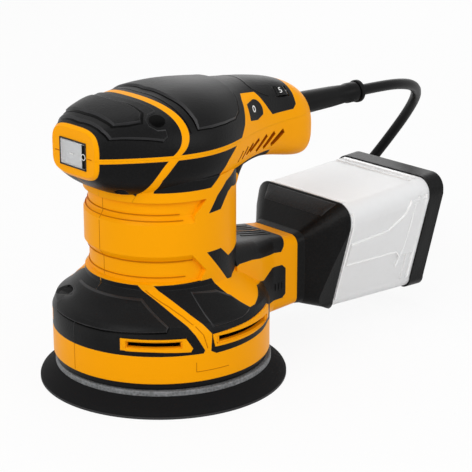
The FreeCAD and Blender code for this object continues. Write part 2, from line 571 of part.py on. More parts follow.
def make_cord():
    points = [V(*p) for p in CORD_ROUTE]
    edges = []
    radii = []
    here = points[0]
    for a, b, c in zip(points, points[1:], points[2:]):
        turn = (b - a).getAngle(c - b)
        tangent = 0.45 * min((b - a).Length, (c - b).Length)
        radius = tangent / math.tan(turn / 2)
        radii.append(round(radius, 1))
        start = b + (a - b).normalize() * tangent
        end = b + (c - b).normalize() * tangent
        toward = ((a - b).normalize() + (c - b).normalize()).normalize()
        middle = b + toward * (radius / math.cos(turn / 2) - radius)
        edges.append(Part.LineSegment(here, start).toShape())
        edges.append(Part.Arc(start, middle, end).toShape())
        here = end
    edges.append(Part.LineSegment(here, points[-1]).toShape())
    path = Part.Wire(edges)
    profile = Part.Wire([Part.Circle(points[0], points[1] - points[0], CORD_R).toShape()])
    tube = path.makePipeShell([profile], True, False)
    ideal = math.pi * CORD_R ** 2 * path.Length
    print("cord radii", radii, "run length", round(path.Length, 1), "volume ratio",
          round(tube.Volume / ideal, 4))
    save("cord", tube)

    x, y = COIL_AT
    r_in = COIL_MID_R - COIL_TURN_W * CORD_R
    r_out = COIL_MID_R + COIL_TURN_W * CORD_R
    top = TIE_T + COIL_HIGH * 2 * CORD_R
    b = 2.0
    coil = turned([(r_in, TIE_T + b), (r_in + b, TIE_T), (r_out - b, TIE_T), (r_out, TIE_T + b),
                   (r_out, top - b),
                   (r_out - b, top), (r_in + b, top), (r_in, top - b)], x, y)
    coil = coil.cut(tube)
    save("cord_coil", coil)
    turns = 0
    for level in range(COIL_HIGH):
        for column in range(COIL_TURN_W):
            turns += 2 * math.pi * (COIL_MID_R + (column - (COIL_TURN_W - 1) / 2) * 2 * CORD_R)
    print("length in the coil", round(turns, 1))

    band = box(x - r_out - TIE_T, x - r_in + TIE_T, y - 7, y + 7, 0, top + TIE_T)
    inner = box(x - r_out, x - r_in, y - 8, y + 8, TIE_T, top)
    tie = band.cut(inner).common(turned([(r_in - TIE_T, 0), (r_out + TIE_T, 0),
                                         (r_out + TIE_T, top + TIE_T),
                                         (r_in - TIE_T, top + TIE_T)], x, y))
    tie.rotate(V(x, y, 0), V(0, 0, 1), TIE_AT - 180.0)
    save("cord_tie", tie.cut(coil))

    lead_y = y - COIL_MID_R + 2 * CORD_R
    z = top + PLUG_T / 2
    x0 = x - PLUG_SLEEVE_L
    x1 = x0 - PLUG_L
    w = PLUG_W / 2
    body = plan_prism([(x0, lead_y - 7.0), (x0, lead_y + 7.0), (x0 - 9.0, lead_y + w),
                       (x0 - 23.0, lead_y + w), (x1, lead_y + w - 5.5), (x1, lead_y - w + 5.5),
                       (x0 - 23.0, lead_y - w), (x0 - 9.0, lead_y - w)], top, top + PLUG_T)
    sleeve = Part.makeCone(6.0, 4.0, PLUG_SLEEVE_L - 2.0, V(x0, lead_y, z), V(1, 0, 0))
    plug = fuse([body, sleeve, rod(CORD_R, (x - 2.0, lead_y, z), (x, lead_y, z))])
    sides = [lead_y + s * PIN_PITCH / 2 for s in (-1, 1)]
    pins = Part.makeCompound([rod(PIN_R, (x1, side, z), (x1 - PIN_L, side, z)) for side in sides])
    for name, piece in (("plug_body", plug), ("plug_pins", pins)):
        piece.rotate(V(x, y, 0), V(0, 0, 1), PLUG_AT - 270.0)
        save(name, piece)


# ------------------------------------------------------------------ dust box
def box_section(x, half, top, bottom, foot_half, corner=8.0):
    """Dust box outline across X: flat top, rounded shoulders, sides that lean in to a narrower foot."""
    c, k = corner, 0.293
    mid = top - c - 2.5
    f = 6.0
    right = [(half - c, top), ((half - c * k, top - c * k), (half, top - c)), (half, mid),
             (foot_half, bottom + f), ((foot_half - f * k, bottom + f * k), (foot_half - f, bottom))]
    left = [(-foot_half + f, bottom), ((-foot_half + f * k, bottom + f * k), (-foot_half, bottom + f)),
            (-half, mid), (-half, top - c), ((-half + c * k, top - c * k), (-half + c, top))]
    edges = []
    start = right[0]
    here = start
    for item in right[1:] + left + [start]:
        if isinstance(item[0], tuple):
            m, e = item
            edges.append(Part.Arc(V(x, *here), V(x, *m), V(x, *e)).toShape())
            here = e
        else:
            edges.append(Part.LineSegment(V(x, *here), V(x, *item)).toShape())
            here = item
    return Part.Wire(edges)


def box_shape(x, grow=0.0, at=None):
    """Section of the dust box at x; it deepens a little towards the back."""
    t = (RIM_X - x) / (RIM_X - CAP_END_X)
    g = grow
    return box_section(x if at is None else at, BOX_HALF_W + g, 74.0 + 4.0 * t + g, 14.2 - 2.6 * t - g,
                       22.5 + g,
                       8.0 + g * 0.5)


def loft(wires, ruled=True):
    return Part.makeLoft(wires, True, ruled)


SPIGOT_CLEAR = 0.3
SPIGOT_L = 12.0
MOUTH_HALF_W = DUCT_HALF_W - WALL - 1.0
MOUTH_LOW_Z = DUCT_BOTTOM_Z + WALL + 1.6
MOUTH_HIGH_Z = DUCT_TOP_Z - WALL - 1.6
LIP = 4.0                             # adapter rim over the container


def make_dust_box():
    face = DUCT_END_X - BOX_GAP
    outer = loft([rounded_section(face, DUCT_HALF_W, DUCT_BOTTOM_Z, DUCT_TOP_Z, 5.0),
                  rounded_section(face - 4.0, DUCT_HALF_W + 1.0, DUCT_BOTTOM_Z - 0.5, DUCT_TOP_Z + 1.0,
                                  5.5)])
    funnel = loft([rounded_section(face - 4.0, DUCT_HALF_W + 1.0, DUCT_BOTTOM_Z - 0.5, DUCT_TOP_Z + 1.0,
                                   5.5),
                   rounded_section(RIM_X + 11.0, BOX_HALF_W - 5.0, 17.0, 70.0, 9.0),
                   rounded_section(RIM_X + 4.5, BOX_HALF_W + 0.4, 14.0, 75.0, 9.0)])
    rim = loft([box_shape(RIM_X + 5.0, 1.0), box_shape(RIM_X, 1.0)])
    lower_trim = loft([box_shape(RIM_X, 1.0, face + 1), box_shape(RIM_X, 1.0, RIM_X + 3.0)])
    body = fuse([outer, funnel.common(lower_trim.fuse(outer)), rim])
    w = BOX_WALL
    inside = loft([rounded_section(face + 1.0, MOUTH_HALF_W - SPIGOT_CLEAR - w,
                                   MOUTH_LOW_Z + SPIGOT_CLEAR + w,
                                   MOUTH_HIGH_Z - SPIGOT_CLEAR - w, 3.0),
                   rounded_section(face - 5.0, DUCT_HALF_W - 2.0, DUCT_BOTTOM_Z + 3.0, DUCT_TOP_Z - 2.0,
                                   4.0),
                   rounded_section(RIM_X + 11.0, 21.0, 21.0, 65.0, 6.0),
                   rounded_section(RIM_X + 8.0, 21.0, 21.0, 65.0, 6.0)])
    frame_room = loft([box_shape(RIM_X, -3.0, RIM_X + 8.0), box_shape(RIM_X, -3.0, RIM_X - 1.0)])
    sleeve_room = loft([box_shape(RIM_X + LIP, 0.0), box_shape(RIM_X - 1.0, 0.0)])
    body = body.cut(inside).cut(frame_room).cut(sleeve_room)
    spigot = loft([rounded_section(face + SPIGOT_L, MOUTH_HALF_W - SPIGOT_CLEAR, MOUTH_LOW_Z + SPIGOT_CLEAR,
                                   MOUTH_HIGH_Z - SPIGOT_CLEAR, 4.0),
                   rounded_section(face - 1.0, MOUTH_HALF_W - SPIGOT_CLEAR, MOUTH_LOW_Z + SPIGOT_CLEAR,
                                   MOUTH_HIGH_Z - SPIGOT_CLEAR, 4.0)])
    bore = loft([rounded_section(face + SPIGOT_L + 1, MOUTH_HALF_W - SPIGOT_CLEAR - w,
                                 MOUTH_LOW_Z + SPIGOT_CLEAR + w,
                                 MOUTH_HIGH_Z - SPIGOT_CLEAR - w, 3.0),
                 rounded_section(face - 2.0, MOUTH_HALF_W - SPIGOT_CLEAR - w,
                                 MOUTH_LOW_Z + SPIGOT_CLEAR + w,
                                 MOUTH_HIGH_Z - SPIGOT_CLEAR - w, 3.0)])
    save("dust_adapter", fuse([body, spigot]).cut(bore))

    # filter cassette, seated in the adapter's mouth
    cassette = loft([box_shape(RIM_X, -3.0, RIM_X + 8.0), box_shape(RIM_X, -3.0, RIM_X + 2.0)])
    window = box(RIM_X, RIM_X + 9, -20.0, 20.0, 24.0, 64.0)
    bars = [box(RIM_X + 2.0, RIM_X + 3.2, y - 0.8, y + 0.8, 23.0, 65.0) for y in (-7.0, 7.0)]
    save("filter_frame", fuse([cassette.cut(window)] + bars))
    pleats = []
    n = 20
    pitch = 40.0 / n
    zig = [(RIM_X + 3.4 + (3.6 if k % 2 else 0.0), -20.0 + k * pitch) for k in range(n + 1)]
    back = [(a + 0.8, b) for a, b in reversed(zig)]
    save("filter_element", plan_prism(zig + back, 24.0, 64.0))

    # clear container and its end cap
    start = RIM_X + LIP - 0.3
    outside = loft([box_shape(RIM_X, 0.0, start), box_shape(CONTAINER_END_X, 0.0)])
    hollow = loft([box_shape(RIM_X, -w, start + 1), box_shape(CONTAINER_END_X, -w, CONTAINER_END_X - 1)])
    save("dust_container", outside.cut(hollow))

    cap_start = CONTAINER_END_X + 3.0
    cap = loft([box_shape(cap_start, 0.8), box_shape(CAP_END_X + 1.5, 0.8), box_shape(CAP_END_X, -0.7)])
    cap = cap.cut(outside)
    cap = cap.cut(loft([box_shape(CONTAINER_END_X + 1, -w), box_shape(CAP_END_X + w, -w)]))
    save("container_cap", cap)


# ------------------------------------------------------------------ housing and its over-mouldings
BAND_LOW = SPLIT_Z - SEAM_BAND
BAND_HIGH = SPLIT_Z + SEAM_BAND
BEZEL_X = NOSE_X - 1.7                # orange frame round the switch in front of this
HOUSING_SCREWS = [(40.5, 45.5), (-43.0, 47.0), (38.0, 107.0), (-44.0, 109.0), (-71.0, 107.5)]
HEAD_SEAT_Y = -10.0
SCREW_END_Y = 11.0
BOSS_WALL_R = SCREW_HEAD_R + 1.6
COVER_SCREWS = [(37.5, 17.5), (37.5, -17.5), (-54.0, 9.0), (-54.0, -9.0)]
COVER_SEAT_Z = 111.0
COVER_SCREW_TOP = 131.0
VENTS = [(-66.5, 117.9, -56.4, 112.2, 2.7), (-58.8, 118.5, -49.4, 112.3, 2.3),
         (-51.9, 118.5, -42.3, 112.4, 2.0),
         (-44.4, 118.3, -35.2, 114.1, 1.7), (-38.3, 117.7, -31.3, 113.6, 1.3),
         (-32.6, 117.5, -26.9, 112.6, 1.1),
         (-27.4, 116.7, -22.4, 112.1, 0.9)]
FRAMES = [[(47.6, 37.3), (24.8, 37.3), (21.6, 31.9), (22.8, 30.6), (47.6, 31.1)],
          [(12.0, 37.6), (-0.6, 38.3), (-11.4, 38.7), (-22.2, 39.5), (-31.5, 39.9), (-34.5, 38.5),
           (-31.2, 33.3),
           (-23.7, 32.2), (-14.1, 31.4), (-0.5, 31.3), (8.8, 31.3)]]
EXHAUSTS = [(33.0, 60.5, 33.0, 35.8), (81.0, 120.0, 33.2, 36.2)]     # angles and heights of the air slots

NOSE_GRIP = [(BEZEL_X, BAND_LOW), (22.9, BAND_LOW), ((27.5, 114.3), (30.6, 106.0)), (33.0, 98.0),
             (BEZEL_X, 98.0)]
SIDE_GRIP = [(18.4, BAND_LOW), (-19.9, BAND_LOW), (-12.8, 115.9), (-7.5, 109.6), (-1.0, 104.6),
             (26.0, 104.6),
             (24.8, 112.0), (21.2, 117.6)]
TONGUE = [(0.6, 92.0), (-5.1, 99.8), (-12.4, 105.5), (-22.0, 108.4), (-37.0, 109.6), (-57.3, 109.4),
          (-59.5, 104.0),
          (-59.5, 94.0), (-44.0, 94.0), (-39.5, 99.5), (-22.0, 100.2), (-18.0, 101.1), (-14.1, 99.6),
          (-10.7, 96.3),
          (-7.7, 92.5)]
DUCT_GRIP = [(1.9, 72.6), (-7.6, 72.7), (-14.0, 67.1), (-24.0, 68.8), (-40.0, 69.5), (-69.0, 69.5),
             (-69.0, 60.0),
             (-67.0, 55.4), (-65.3, 53.1), (-55.5, 54.2), (-37.1, 57.4), (-26.2, 58.2), (-20.5, 56.5),
             (-16.0, 55.2),
             (-12.7, 55.5)]
SKIRT_FRONT_GRIP = [(60.0, 28.6), (60.0, 58.4), (31.5, 58.4), (15.9, 30.0), (16.6, 28.6)]
SKIRT_SIDE_GRIP = [(26.5, 58.4), (-0.8, 59.0), (-5.0, 52.9), (-9.1, 48.1), (-14.5, 43.4), (-20.5, 43.3),
                   (-28.0, 44.5),
                   (-35.0, 46.0), (-48.0, 43.0), (-58.0, 46.2), (-66.0, 45.9), (-68.8, 43.5), (-68.8, 29.5),
                   (-66.5, 27.6), (-45.0, 27.6), (-33.0, 30.6), (-24.0, 29.0), (-14.0, 28.4), (0.0, 27.9),
                   (10.0, 27.6), (12.8, 29.2), (12.2, 37.8)]
FRONT_TOP_GRIP = [(BEZEL_X, BAND_HIGH), (BEZEL_X, 152.0), (21.5, 152.0), (20.8, 147.0),
                  ((15.0, 137.5), (20.9, BAND_HIGH))]
REAR_TOP_GRIP = [(17.2, 152.0), (16.6, 147.2), ((11.1, 137.8), (17.3, BAND_HIGH)), (-25.6, BAND_HIGH),
                 (-30.5, 128.7),
                 (-32.3, 131.9), (-34.1, 135.9), (-35.4, 139.3), (-37.2, 141.4), (-48.2, 140.2),
                 (-50.3, 137.8),
                 (-54.9, 131.1), (-57.6, 127.9), (-74.7, 127.4), (-77.3, 129.5), (-77.0, 134.5),
                 (-76.0, 138.5),
                 (-75.0, 142.0), (-75.0, 152.0)]
BADGE = [(-37.0, 129.0), (-37.6, 136.6), (-42.5, 137.4), ((-49.0, 135.0), (-50.0, 131.5)), (-49.6, 129.6),
         (-44.0, 128.0)]
GRIP_SEAM = 0.25                      # the two halves' over-mouldings stop short of each other


def shell_union(inset, head):
    """Outer surface of the two body halves together, brought in by inset."""
    low = head.common(box(-120, 80, -60, 60, 80, SPLIT_Z))
    return body_turned(inset).fuse(low).fuse(duct_form(inset)).fuse(arch_form(inset))


def front_recesses():
    """Two shallow bands round the front of the column, above and below its plain middle band."""
    r, d = COLUMN_R, COLUMN_BAND_DEPTH
    low = turned([(r - d, 59.5), (r + 1, 58.0), (r + 1, 73.5), (r, 72.8), (r - d, 69.4)])
    high = turned([(r - d, 92.0), (r, 88.6), (r + 1, 87.9), (r + 1, COLUMN_TOP_Z), (r - d, COLUMN_TOP_Z)])
    low_reach = side_prism([(60, 50), (60, 80), (9.6, 80), (9.6, 72), (2.5, 63.9), (6.0, 58.0), (6.0, 50)],
                           -50, 50)
    high_reach = side_prism([(60, 80), (60, 104), (0.6, 104), (0.6, 101), (8.6, 92.0), (8.6, 80)], -50, 50)
    return low.common(low_reach).fuse(high.common(high_reach))


def cavity(head_in):
    inner = turned([(0, SKIRT_Z - 1), (CHAMBER_R, SKIRT_Z - 1), (CHAMBER_R, SKIRT_SHOULDER_Z),
                    (CHAMBER_R - 1.9, SKIRT_SHOULDER_Z + 3.2), (CHAMBER_R - 6.5, SKIRT_SHOULDER_Z + 6.3),
                    (BORE_R, COLUMN_FOOT_Z - 3.0), (BORE_R, COLUMN_TOP_Z + 8), (0, COLUMN_TOP_Z + 8)])
    rear_bore = cyl(COLUMN_R - WALL, COLUMN_FOOT_Z - 1.0,
                    COLUMN_TOP_Z + 6).common(box(-60, 0, -60, 60, 50, 120))
    low_head = head_in.common(box(-120, 80, -60, 60, 95, SPLIT_Z + 1))
    passage = duct_form(WALL).common(box(-66, 0, -60, 60, 0, 80)).cut(cyl(SKIRT_R, 0, 80))
    passage = passage.cut(cyl(COLUMN_R, 0, 90))
    mouth = loft([rounded_section(DUCT_END_X - 1, MOUTH_HALF_W, MOUTH_LOW_Z, MOUTH_HIGH_Z, 4.0),
                  rounded_section(-65.0, MOUTH_HALF_W, MOUTH_LOW_Z, MOUTH_HIGH_Z, 4.0)])
    dust_window = box(-62, -40, -MOUTH_HALF_W, MOUTH_HALF_W, SKIRT_Z + 3.0, FAN_Z - 2.0)
    return fuse([inner, rear_bore, low_head, passage, mouth, dust_window])


def bearing_seat(r_bearing, z0, z1, r_lip, lip_below, lip_above):
    return turned([(r_bearing, z0), (r_lip, z0), (r_lip, z0 - lip_below), (r_bearing + 3, z0 - lip_below),
                   (r_bearing + 3, z1 + lip_above), (r_lip, z1 + lip_above), (r_lip, z1), (r_bearing, z1)])


def inner_structure():
    """Seats, webs, ledges and bosses inside the body, as one shape to be trimmed to the outer form."""
    web = ring(BORE_R + 8, LOWER_BEARING_R + 2.5, LOWER_BEARING_TOP - 1.0, LOWER_BEARING_TOP + 1.5)
    air = sector(BORE_R - 1.0, LOWER_BEARING_R + 5.0, LOWER_BEARING_TOP - 2, LOWER_BEARING_TOP + 2, 7, 38)
    web = web.cut(Part.makeCompound(around(air, 8)))
    lower = bearing_seat(LOWER_BEARING_R, LOWER_BEARING_Z, LOWER_BEARING_TOP, LOWER_BEARING_R - 2.5, 1.0,
                         1.5)
    upper = bearing_seat(UPPER_BEARING_R, UPPER_BEARING_Z, UPPER_BEARING_TOP, UPPER_BEARING_R - 3.0, 0.8,
                         1.5)
    arms = box(-8, 8, -45, 45, COMMUTATOR_TOP - 0.2, COMMUTATOR_TOP + 2.3)
    arms = arms.fuse(box(-45, 45, -2, 2, COMMUTATOR_TOP + 0.4, COMMUTATOR_TOP + 4.0))
    arms = arms.cut(cyl(UPPER_BEARING_R + 1, 90, 130))
    pieces = [web, lower, upper, arms]
    ledge = sector(BORE_R + 3, STATOR_R - 2.0, ARMATURE_Z - 2.0, ARMATURE_Z, 20, 70)
    clamp = sector(BORE_R + 3, STATOR_R - 2.0, ARMATURE_TOP, ARMATURE_TOP + 2.0, 20, 70)
    low_rib = sector(BORE_R + 3, STATOR_R, ARMATURE_Z, ARMATURE_Z + 2.0, 20, 70)
    high_rib = sector(BORE_R + 3, STATOR_R, ARMATURE_TOP - 2.0, ARMATURE_TOP, 20, 70)
    for piece in (ledge, clamp, low_rib, high_rib):
        pieces += around(piece, 4)
    holder_end = HOLDER_Y + HOLDER_L
    for side in (-1, 1):
        y0, y1 = sorted((side * (YOKE_IN_R + 0.6), side * (BORE_R + 4)))
        pieces.append(box(-5.5, 5.5, y0, y1, BRUSH_Z - HOLDER_HALF_H - 2.5, BRUSH_Z - HOLDER_HALF_H))
        y0, y1 = sorted((side * holder_end, side * (BORE_R + 4)))
        pieces.append(box(-5.5, 5.5, y0, y1, BRUSH_Z - HOLDER_HALF_H, BRUSH_Z + HOLDER_HALF_H))
    pieces.append(ring(CHAMBER_R + 1, FAN_R + 4.0, FAN_Z - 2.0, FAN_Z))
    for x, z in HOUSING_SCREWS:
        pieces.append(rod(BOSS_WALL_R, (x, -60, z), (x, 60, z)))
    for x, y in COVER_SCREWS:
        pieces.append(cyl(BOSS_WALL_R, 95, SPLIT_Z, x, y))
    for x in (33.0, 42.0):
        pieces.append(box(x, x + 2.0, -WINDOW_HALF_W + 0.6, WINDOW_HALF_W - 0.6, 96, WINDOW_LOW_Z - 1.0))
    pieces.append(box(RELIEF_RIB_X - 2.0, RELIEF_RIB_X, -20, 20, 95, SPLIT_Z))
    pieces.append(box(CLAMP_X0 - 0.5, CLAMP_X1 + 0.5, -9.5, 9.5, 95, SHELF_TOP))
    for y in (-6.5, 6.5):
        pieces.append(box(CLAMP_X0, CLAMP_X1, y - 2.4, y + 2.4, SHELF_TOP - 1, CORD_Z + CORD_R - 1.0))
    return fuse(pieces)


def mirrored(shape):
    return shape.mirror(V(0, 0, 0), V(0, 1, 0))


def screw_head_bores():
    r = SCREW_HEAD_R + 0.2
    bores = [rod(r, (x, -70, z), (x, HEAD_SEAT_Y, z)) for x, z in HOUSING_SCREWS]
    return bores + [cyl(r, 80, COVER_SEAT_Z, x, y) for x, y in COVER_SCREWS]


def body_cuts():
    """Holes that go through the shells after the seats are in."""
    cuts = screw_head_bores()
    for x, z in HOUSING_SCREWS:
        cuts.append(rod(SCREW_R, (x, HEAD_SEAT_Y - 1, z), (x, SCREW_END_Y, z)))
    for x, y in COVER_SCREWS:
        cuts.append(cyl(SCREW_R, COVER_SEAT_Z - 1, SPLIT_Z + 1, x, y))
    for y in (-6.5, 6.5):
        cuts.append(cyl(1.3, SHELF_TOP - 3.0, CORD_Z + CORD_R, (CLAMP_X0 + CLAMP_X1) / 2, y))
    for a0, a1, z0, z1 in EXHAUSTS:
        slot = sector(SKIRT_R + 2, CHAMBER_R - 3, z0, z1, a0, a1)
        cuts += [slot, mirrored(slot)]
    for xt, zt, xb, zb, w in VENTS:
        long = V(xb - xt, 0, zb - zt).normalize()
        side = V(-long.z, 0, long.x) * (w / 2)
        a, b = V(xt, 0, zt), V(xb, 0, zb)
        corners = [a + side, b + side, b - side, a - side]
        for y0, y1 in ((11.0, 40.0), (-40.0, -11.0)):
            cuts.append(side_prism([(p.x, p.z) for p in corners], y0, y1))
    cuts += common_cuts()
    return cuts


def common_cuts():
    """Openings shared by the cover and the body halves where they meet."""
    window = box(MODULE_X - 1, NOSE_X + 2, -WINDOW_HALF_W, WINDOW_HALF_W, WINDOW_LOW_Z, WINDOW_HIGH_Z)
    flange_seat = box(MODULE_X - 2.4, MODULE_X, -WINDOW_HALF_W - 1.5, WINDOW_HALF_W + 1.5,
                      WINDOW_LOW_Z - 1.3, WINDOW_HIGH_Z + 1.3)
    relief = rod(6.0, (-84.0, 0, CORD_Z), (-100.0, 0, CORD_Z))
    flange = rod(8.0, (-84.0, 0, CORD_Z), (RELIEF_RIB_X, 0, CORD_Z))
    return [window, flange_seat, relief, flange]


def on_side(points):
    return side_prism(points, GRIP_SEAM, 60)


def make_housing(head_out, head_in, grip_floor):
    left_side = box(-130, 80, 0, 70, 0, 150)
    outer = shell_union(0.0, head_out).cut(front_recesses()).common(left_side)
    skin = outer.cut(shell_union(GRIP_T, grip_floor))
    regions = [on_side(r) for r in (NOSE_GRIP, SIDE_GRIP, TONGUE, DUCT_GRIP, SKIRT_FRONT_GRIP,
                                    SKIRT_SIDE_GRIP)]
    patches = skin.common(Part.makeCompound(regions)).cut(Part.makeCompound([on_side(f) for f in FRAMES]))
    grips = Part.makeCompound([s for s in patches.Solids if s.Volume > 5.0])
    core = outer.cut(grips)
    void = cavity(head_in).cut(inner_structure())
    holes = Part.makeCompound(body_cuts())
    save("housing_left", core.cut(void).cut(holes))
    save("housing_left_grip", grips.cut(Part.makeCompound(screw_head_bores())))
    save("housing_right", mirrored(core).cut(void).cut(holes))
    save("housing_right_grip", mirrored(grips).cut(Part.makeCompound(screw_head_bores())))


def make_cover(head_out, head_in, grip_floor):
    above = box(-120, 80, -60, 60, SPLIT_Z, 160)
    outer = head_out.common(above)
    shell = outer.cut(head_in)
    inside = []
    for x, y in COVER_SCREWS:
        inside.append(cyl(BOSS_WALL_R - 0.8, SPLIT_Z, 160, x, y))
    for x in (33.0, 42.0):
        inside.append(box(x, x + 2.0, -WINDOW_HALF_W + 0.6, WINDOW_HALF_W - 0.6, WINDOW_HIGH_Z + 1.0, 160))
    inside.append(box(RELIEF_RIB_X - 2.0, RELIEF_RIB_X, -20, 20, SPLIT_Z, 160))
    inside.append(on_dial_axis(REGULATOR_R + 0.9, DIAL_T / 2 + REGULATOR_L, DIAL_T / 2 + REGULATOR_L + 12))
    shell = shell.fuse(fuse(inside).common(outer))
    cuts = [on_dial_axis(DIAL_R + 0.5, -DIAL_T / 2 - 0.5, DIAL_T / 2 + 0.5)] + common_cuts()
    for x, y in COVER_SCREWS:
        cuts.append(cyl(SCREW_R, SPLIT_Z - 1, COVER_SCREW_TOP, x, y))
    cuts = Part.makeCompound(cuts)
    skin = outer.cut(grip_floor)
    patches = [skin.common(side_prism(region, -60, 60)) for region in (FRONT_TOP_GRIP, REAR_TOP_GRIP)]
    grips = Part.makeCompound([s for p in patches for s in p.Solids]).cut(cuts)
    badge = skin.common(side_prism(BADGE, 0, 60)).cut(grips)
    save("top_cover", shell.cut(cuts).cut(grips).cut(badge))
    save("top_cover_grip", grips)
    save("side_badge", badge)


def make_fasteners():
    body = []
    for x, z in HOUSING_SCREWS:
        screw = fuse([rod(SCREW_HEAD_R, (x, HEAD_SEAT_Y - SCREW_HEAD_T, z), (x, HEAD_SEAT_Y, z)),
                      rod(SCREW_R, (x, HEAD_SEAT_Y, z), (x, SCREW_END_Y, z))])
        drive = box(x - 2.0, x + 2.0, HEAD_SEAT_Y - 4, HEAD_SEAT_Y - 1.2, z - 0.45, z + 0.45)
        cross = box(x - 0.45, x + 0.45, HEAD_SEAT_Y - 4, HEAD_SEAT_Y - 1.2, z - 2.0, z + 2.0)
        body.append(screw.cut(drive).cut(cross))
    save("housing_screws", Part.makeCompound(body))
    cover = []
    for x, y in COVER_SCREWS:
        screw = fuse([cyl(SCREW_HEAD_R, COVER_SEAT_Z - SCREW_HEAD_T, COVER_SEAT_Z, x, y),
                      cyl(SCREW_R, COVER_SEAT_Z, COVER_SCREW_TOP, x, y)])
        drive = box(x - 2.0, x + 2.0, y - 0.45, y + 0.45, COVER_SEAT_Z - 4, COVER_SEAT_Z - 1.2)
        cross = box(x - 0.45, x + 0.45, y - 2.0, y + 2.0, COVER_SEAT_Z - 4, COVER_SEAT_Z - 1.2)
        cover.append(screw.cut(drive).cut(cross))
    save("cover_screws", Part.makeCompound(cover))


def make_skirt_rings():
    save("fan_shroud", ring(CHAMBER_R, FAN_R + 0.7, FAN_Z, FAN_Z + 1.6))
    brake = turned([(CHAMBER_R - 2.0, PLATE_TOP + AIR_GAP), (CHAMBER_R + 1.2, PLATE_TOP + AIR_GAP),
                    (CHAMBER_R + 1.2, SKIRT_Z), (CHAMBER_R, SKIRT_Z), (CHAMBER_R, SKIRT_Z + 3.0),
                    (CHAMBER_R - 2.0, SKIRT_Z + 3.0)])
    save("brake_ring", brake)


if __name__ == "__main__":
    make_pad()
    make_drive()
    make_stator()
    make_brushes()
    make_switch()
    make_dial()
    make_cord_entry()
    make_cord()
    make_dust_box()
    make_skirt_rings()
    make_fasteners()
    head_out = head_form()
    head_in = head_form(WALL)
    grip_floor = head_form(GRIP_T)
    make_cover(head_out, head_in, grip_floor)
    make_housing(head_out, head_in, grip_floor)
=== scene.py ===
# %% [markdown]
# # A corded palm sander, dressed
#
# The solid model gives every part its place and size. This lesson dresses it: each shell gets smooth
# shading and a moulded finish, and the small raised panels, ribs, numerals and the cord are modelled
# on top. Everything is in metres, with +X towards the nose and +Z up.

# %% Load the solid model
import json
import math

import bmesh
import bpy
from mathutils import Matrix, Vector
from mathutils.bvhtree import BVHTree

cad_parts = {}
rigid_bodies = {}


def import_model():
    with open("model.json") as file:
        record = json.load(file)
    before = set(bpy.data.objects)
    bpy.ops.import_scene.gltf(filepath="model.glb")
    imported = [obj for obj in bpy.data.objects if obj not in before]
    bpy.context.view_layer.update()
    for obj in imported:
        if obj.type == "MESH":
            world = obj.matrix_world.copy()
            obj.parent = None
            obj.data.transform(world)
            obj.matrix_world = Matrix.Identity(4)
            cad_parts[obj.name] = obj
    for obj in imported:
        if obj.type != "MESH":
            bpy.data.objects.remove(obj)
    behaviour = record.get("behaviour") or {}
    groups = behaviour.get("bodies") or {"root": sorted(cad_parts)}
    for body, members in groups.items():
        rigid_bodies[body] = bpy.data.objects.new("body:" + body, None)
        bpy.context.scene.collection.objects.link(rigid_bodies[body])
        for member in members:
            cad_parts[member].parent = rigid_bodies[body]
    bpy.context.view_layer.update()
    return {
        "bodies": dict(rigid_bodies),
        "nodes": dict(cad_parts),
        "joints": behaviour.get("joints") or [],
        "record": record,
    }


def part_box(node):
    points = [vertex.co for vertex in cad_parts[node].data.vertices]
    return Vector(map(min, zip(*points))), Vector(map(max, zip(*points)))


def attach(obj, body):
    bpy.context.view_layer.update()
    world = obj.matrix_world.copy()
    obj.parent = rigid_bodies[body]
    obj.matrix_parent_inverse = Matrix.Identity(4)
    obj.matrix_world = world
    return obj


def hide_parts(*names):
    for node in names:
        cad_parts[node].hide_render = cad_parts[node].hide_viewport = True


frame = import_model()
nodes = frame["nodes"]
joints = {joint["name"]: joint for joint in frame["joints"]}
MM = 0.001

# %% [markdown]
# ## Camera
#
# A long lens keeps the upright lines of a small tool nearly parallel. The camera looks down a little, from
# the nose's left, so that the switch, the dial and the dust box are all in view.

# %% Camera
CAMERA_AT = Vector((0.5085, 0.6261, 0.3329))
CAMERA_TURN = math.radians(48.24)
CAMERA_DIP = math.radians(17.98)
LENS = 129.66

look = Vector((-math.cos(CAMERA_TURN) * math.cos(CAMERA_DIP), -math.sin(CAMERA_TURN) * math.cos(CAMERA_DIP),
               -math.sin(CAMERA_DIP)))
camera = bpy.data.objects.new("view_camera", bpy.data.cameras.new("view_camera"))
camera.data.sensor_width = 36.0
camera.data.lens = LENS
camera.location = CAMERA_AT
camera.rotation_euler = look.to_track_quat("-Z", "Y").to_euler()
bpy.context.scene.collection.objects.link(camera)
bpy.context.scene.camera = camera
bpy.context.scene.view_settings.view_transform = "Standard"
print("camera", [round(c, 3) for c in camera.location])

# %% [markdown]
# ## The mains cord
#
# A mains lead is about two metres of stiff rubber. It could be a swept tube or a simulated rope, but one
# smooth NURBS curve keeps its length exact and never kinks. It leaves the strain relief straight, sags
# behind the dust box, and the rest is wound into a neat coil on the floor. The turns fill nine places, three
# side by side and three high. Each turn moves over to the next place in a short sector, and that sector
# comes one step earlier every time round, so that no turn crosses one that is moving too.

# %% Cord's route and coil
CORD_R = 3.0 * MM
ROUTE = [(-0.139, 0.0, 0.124), (-0.157, 0.0, 0.1239), (-0.175, -0.0022, 0.1222), (-0.1925, -0.008, 0.1176),
         (-0.207, -0.0185, 0.1085), (-0.2145, -0.032, 0.0945), (-0.215, -0.046, 0.077),
         (-0.2105, -0.0585, 0.0585), (-0.204, -0.0705, 0.042), (-0.1975, -0.0835, 0.0276),
         (-0.1928, -0.0975, 0.0187), (-0.191, -0.112, 0.0158)]
COIL_CENTRE = Vector((-0.232, -0.112, 0.0))
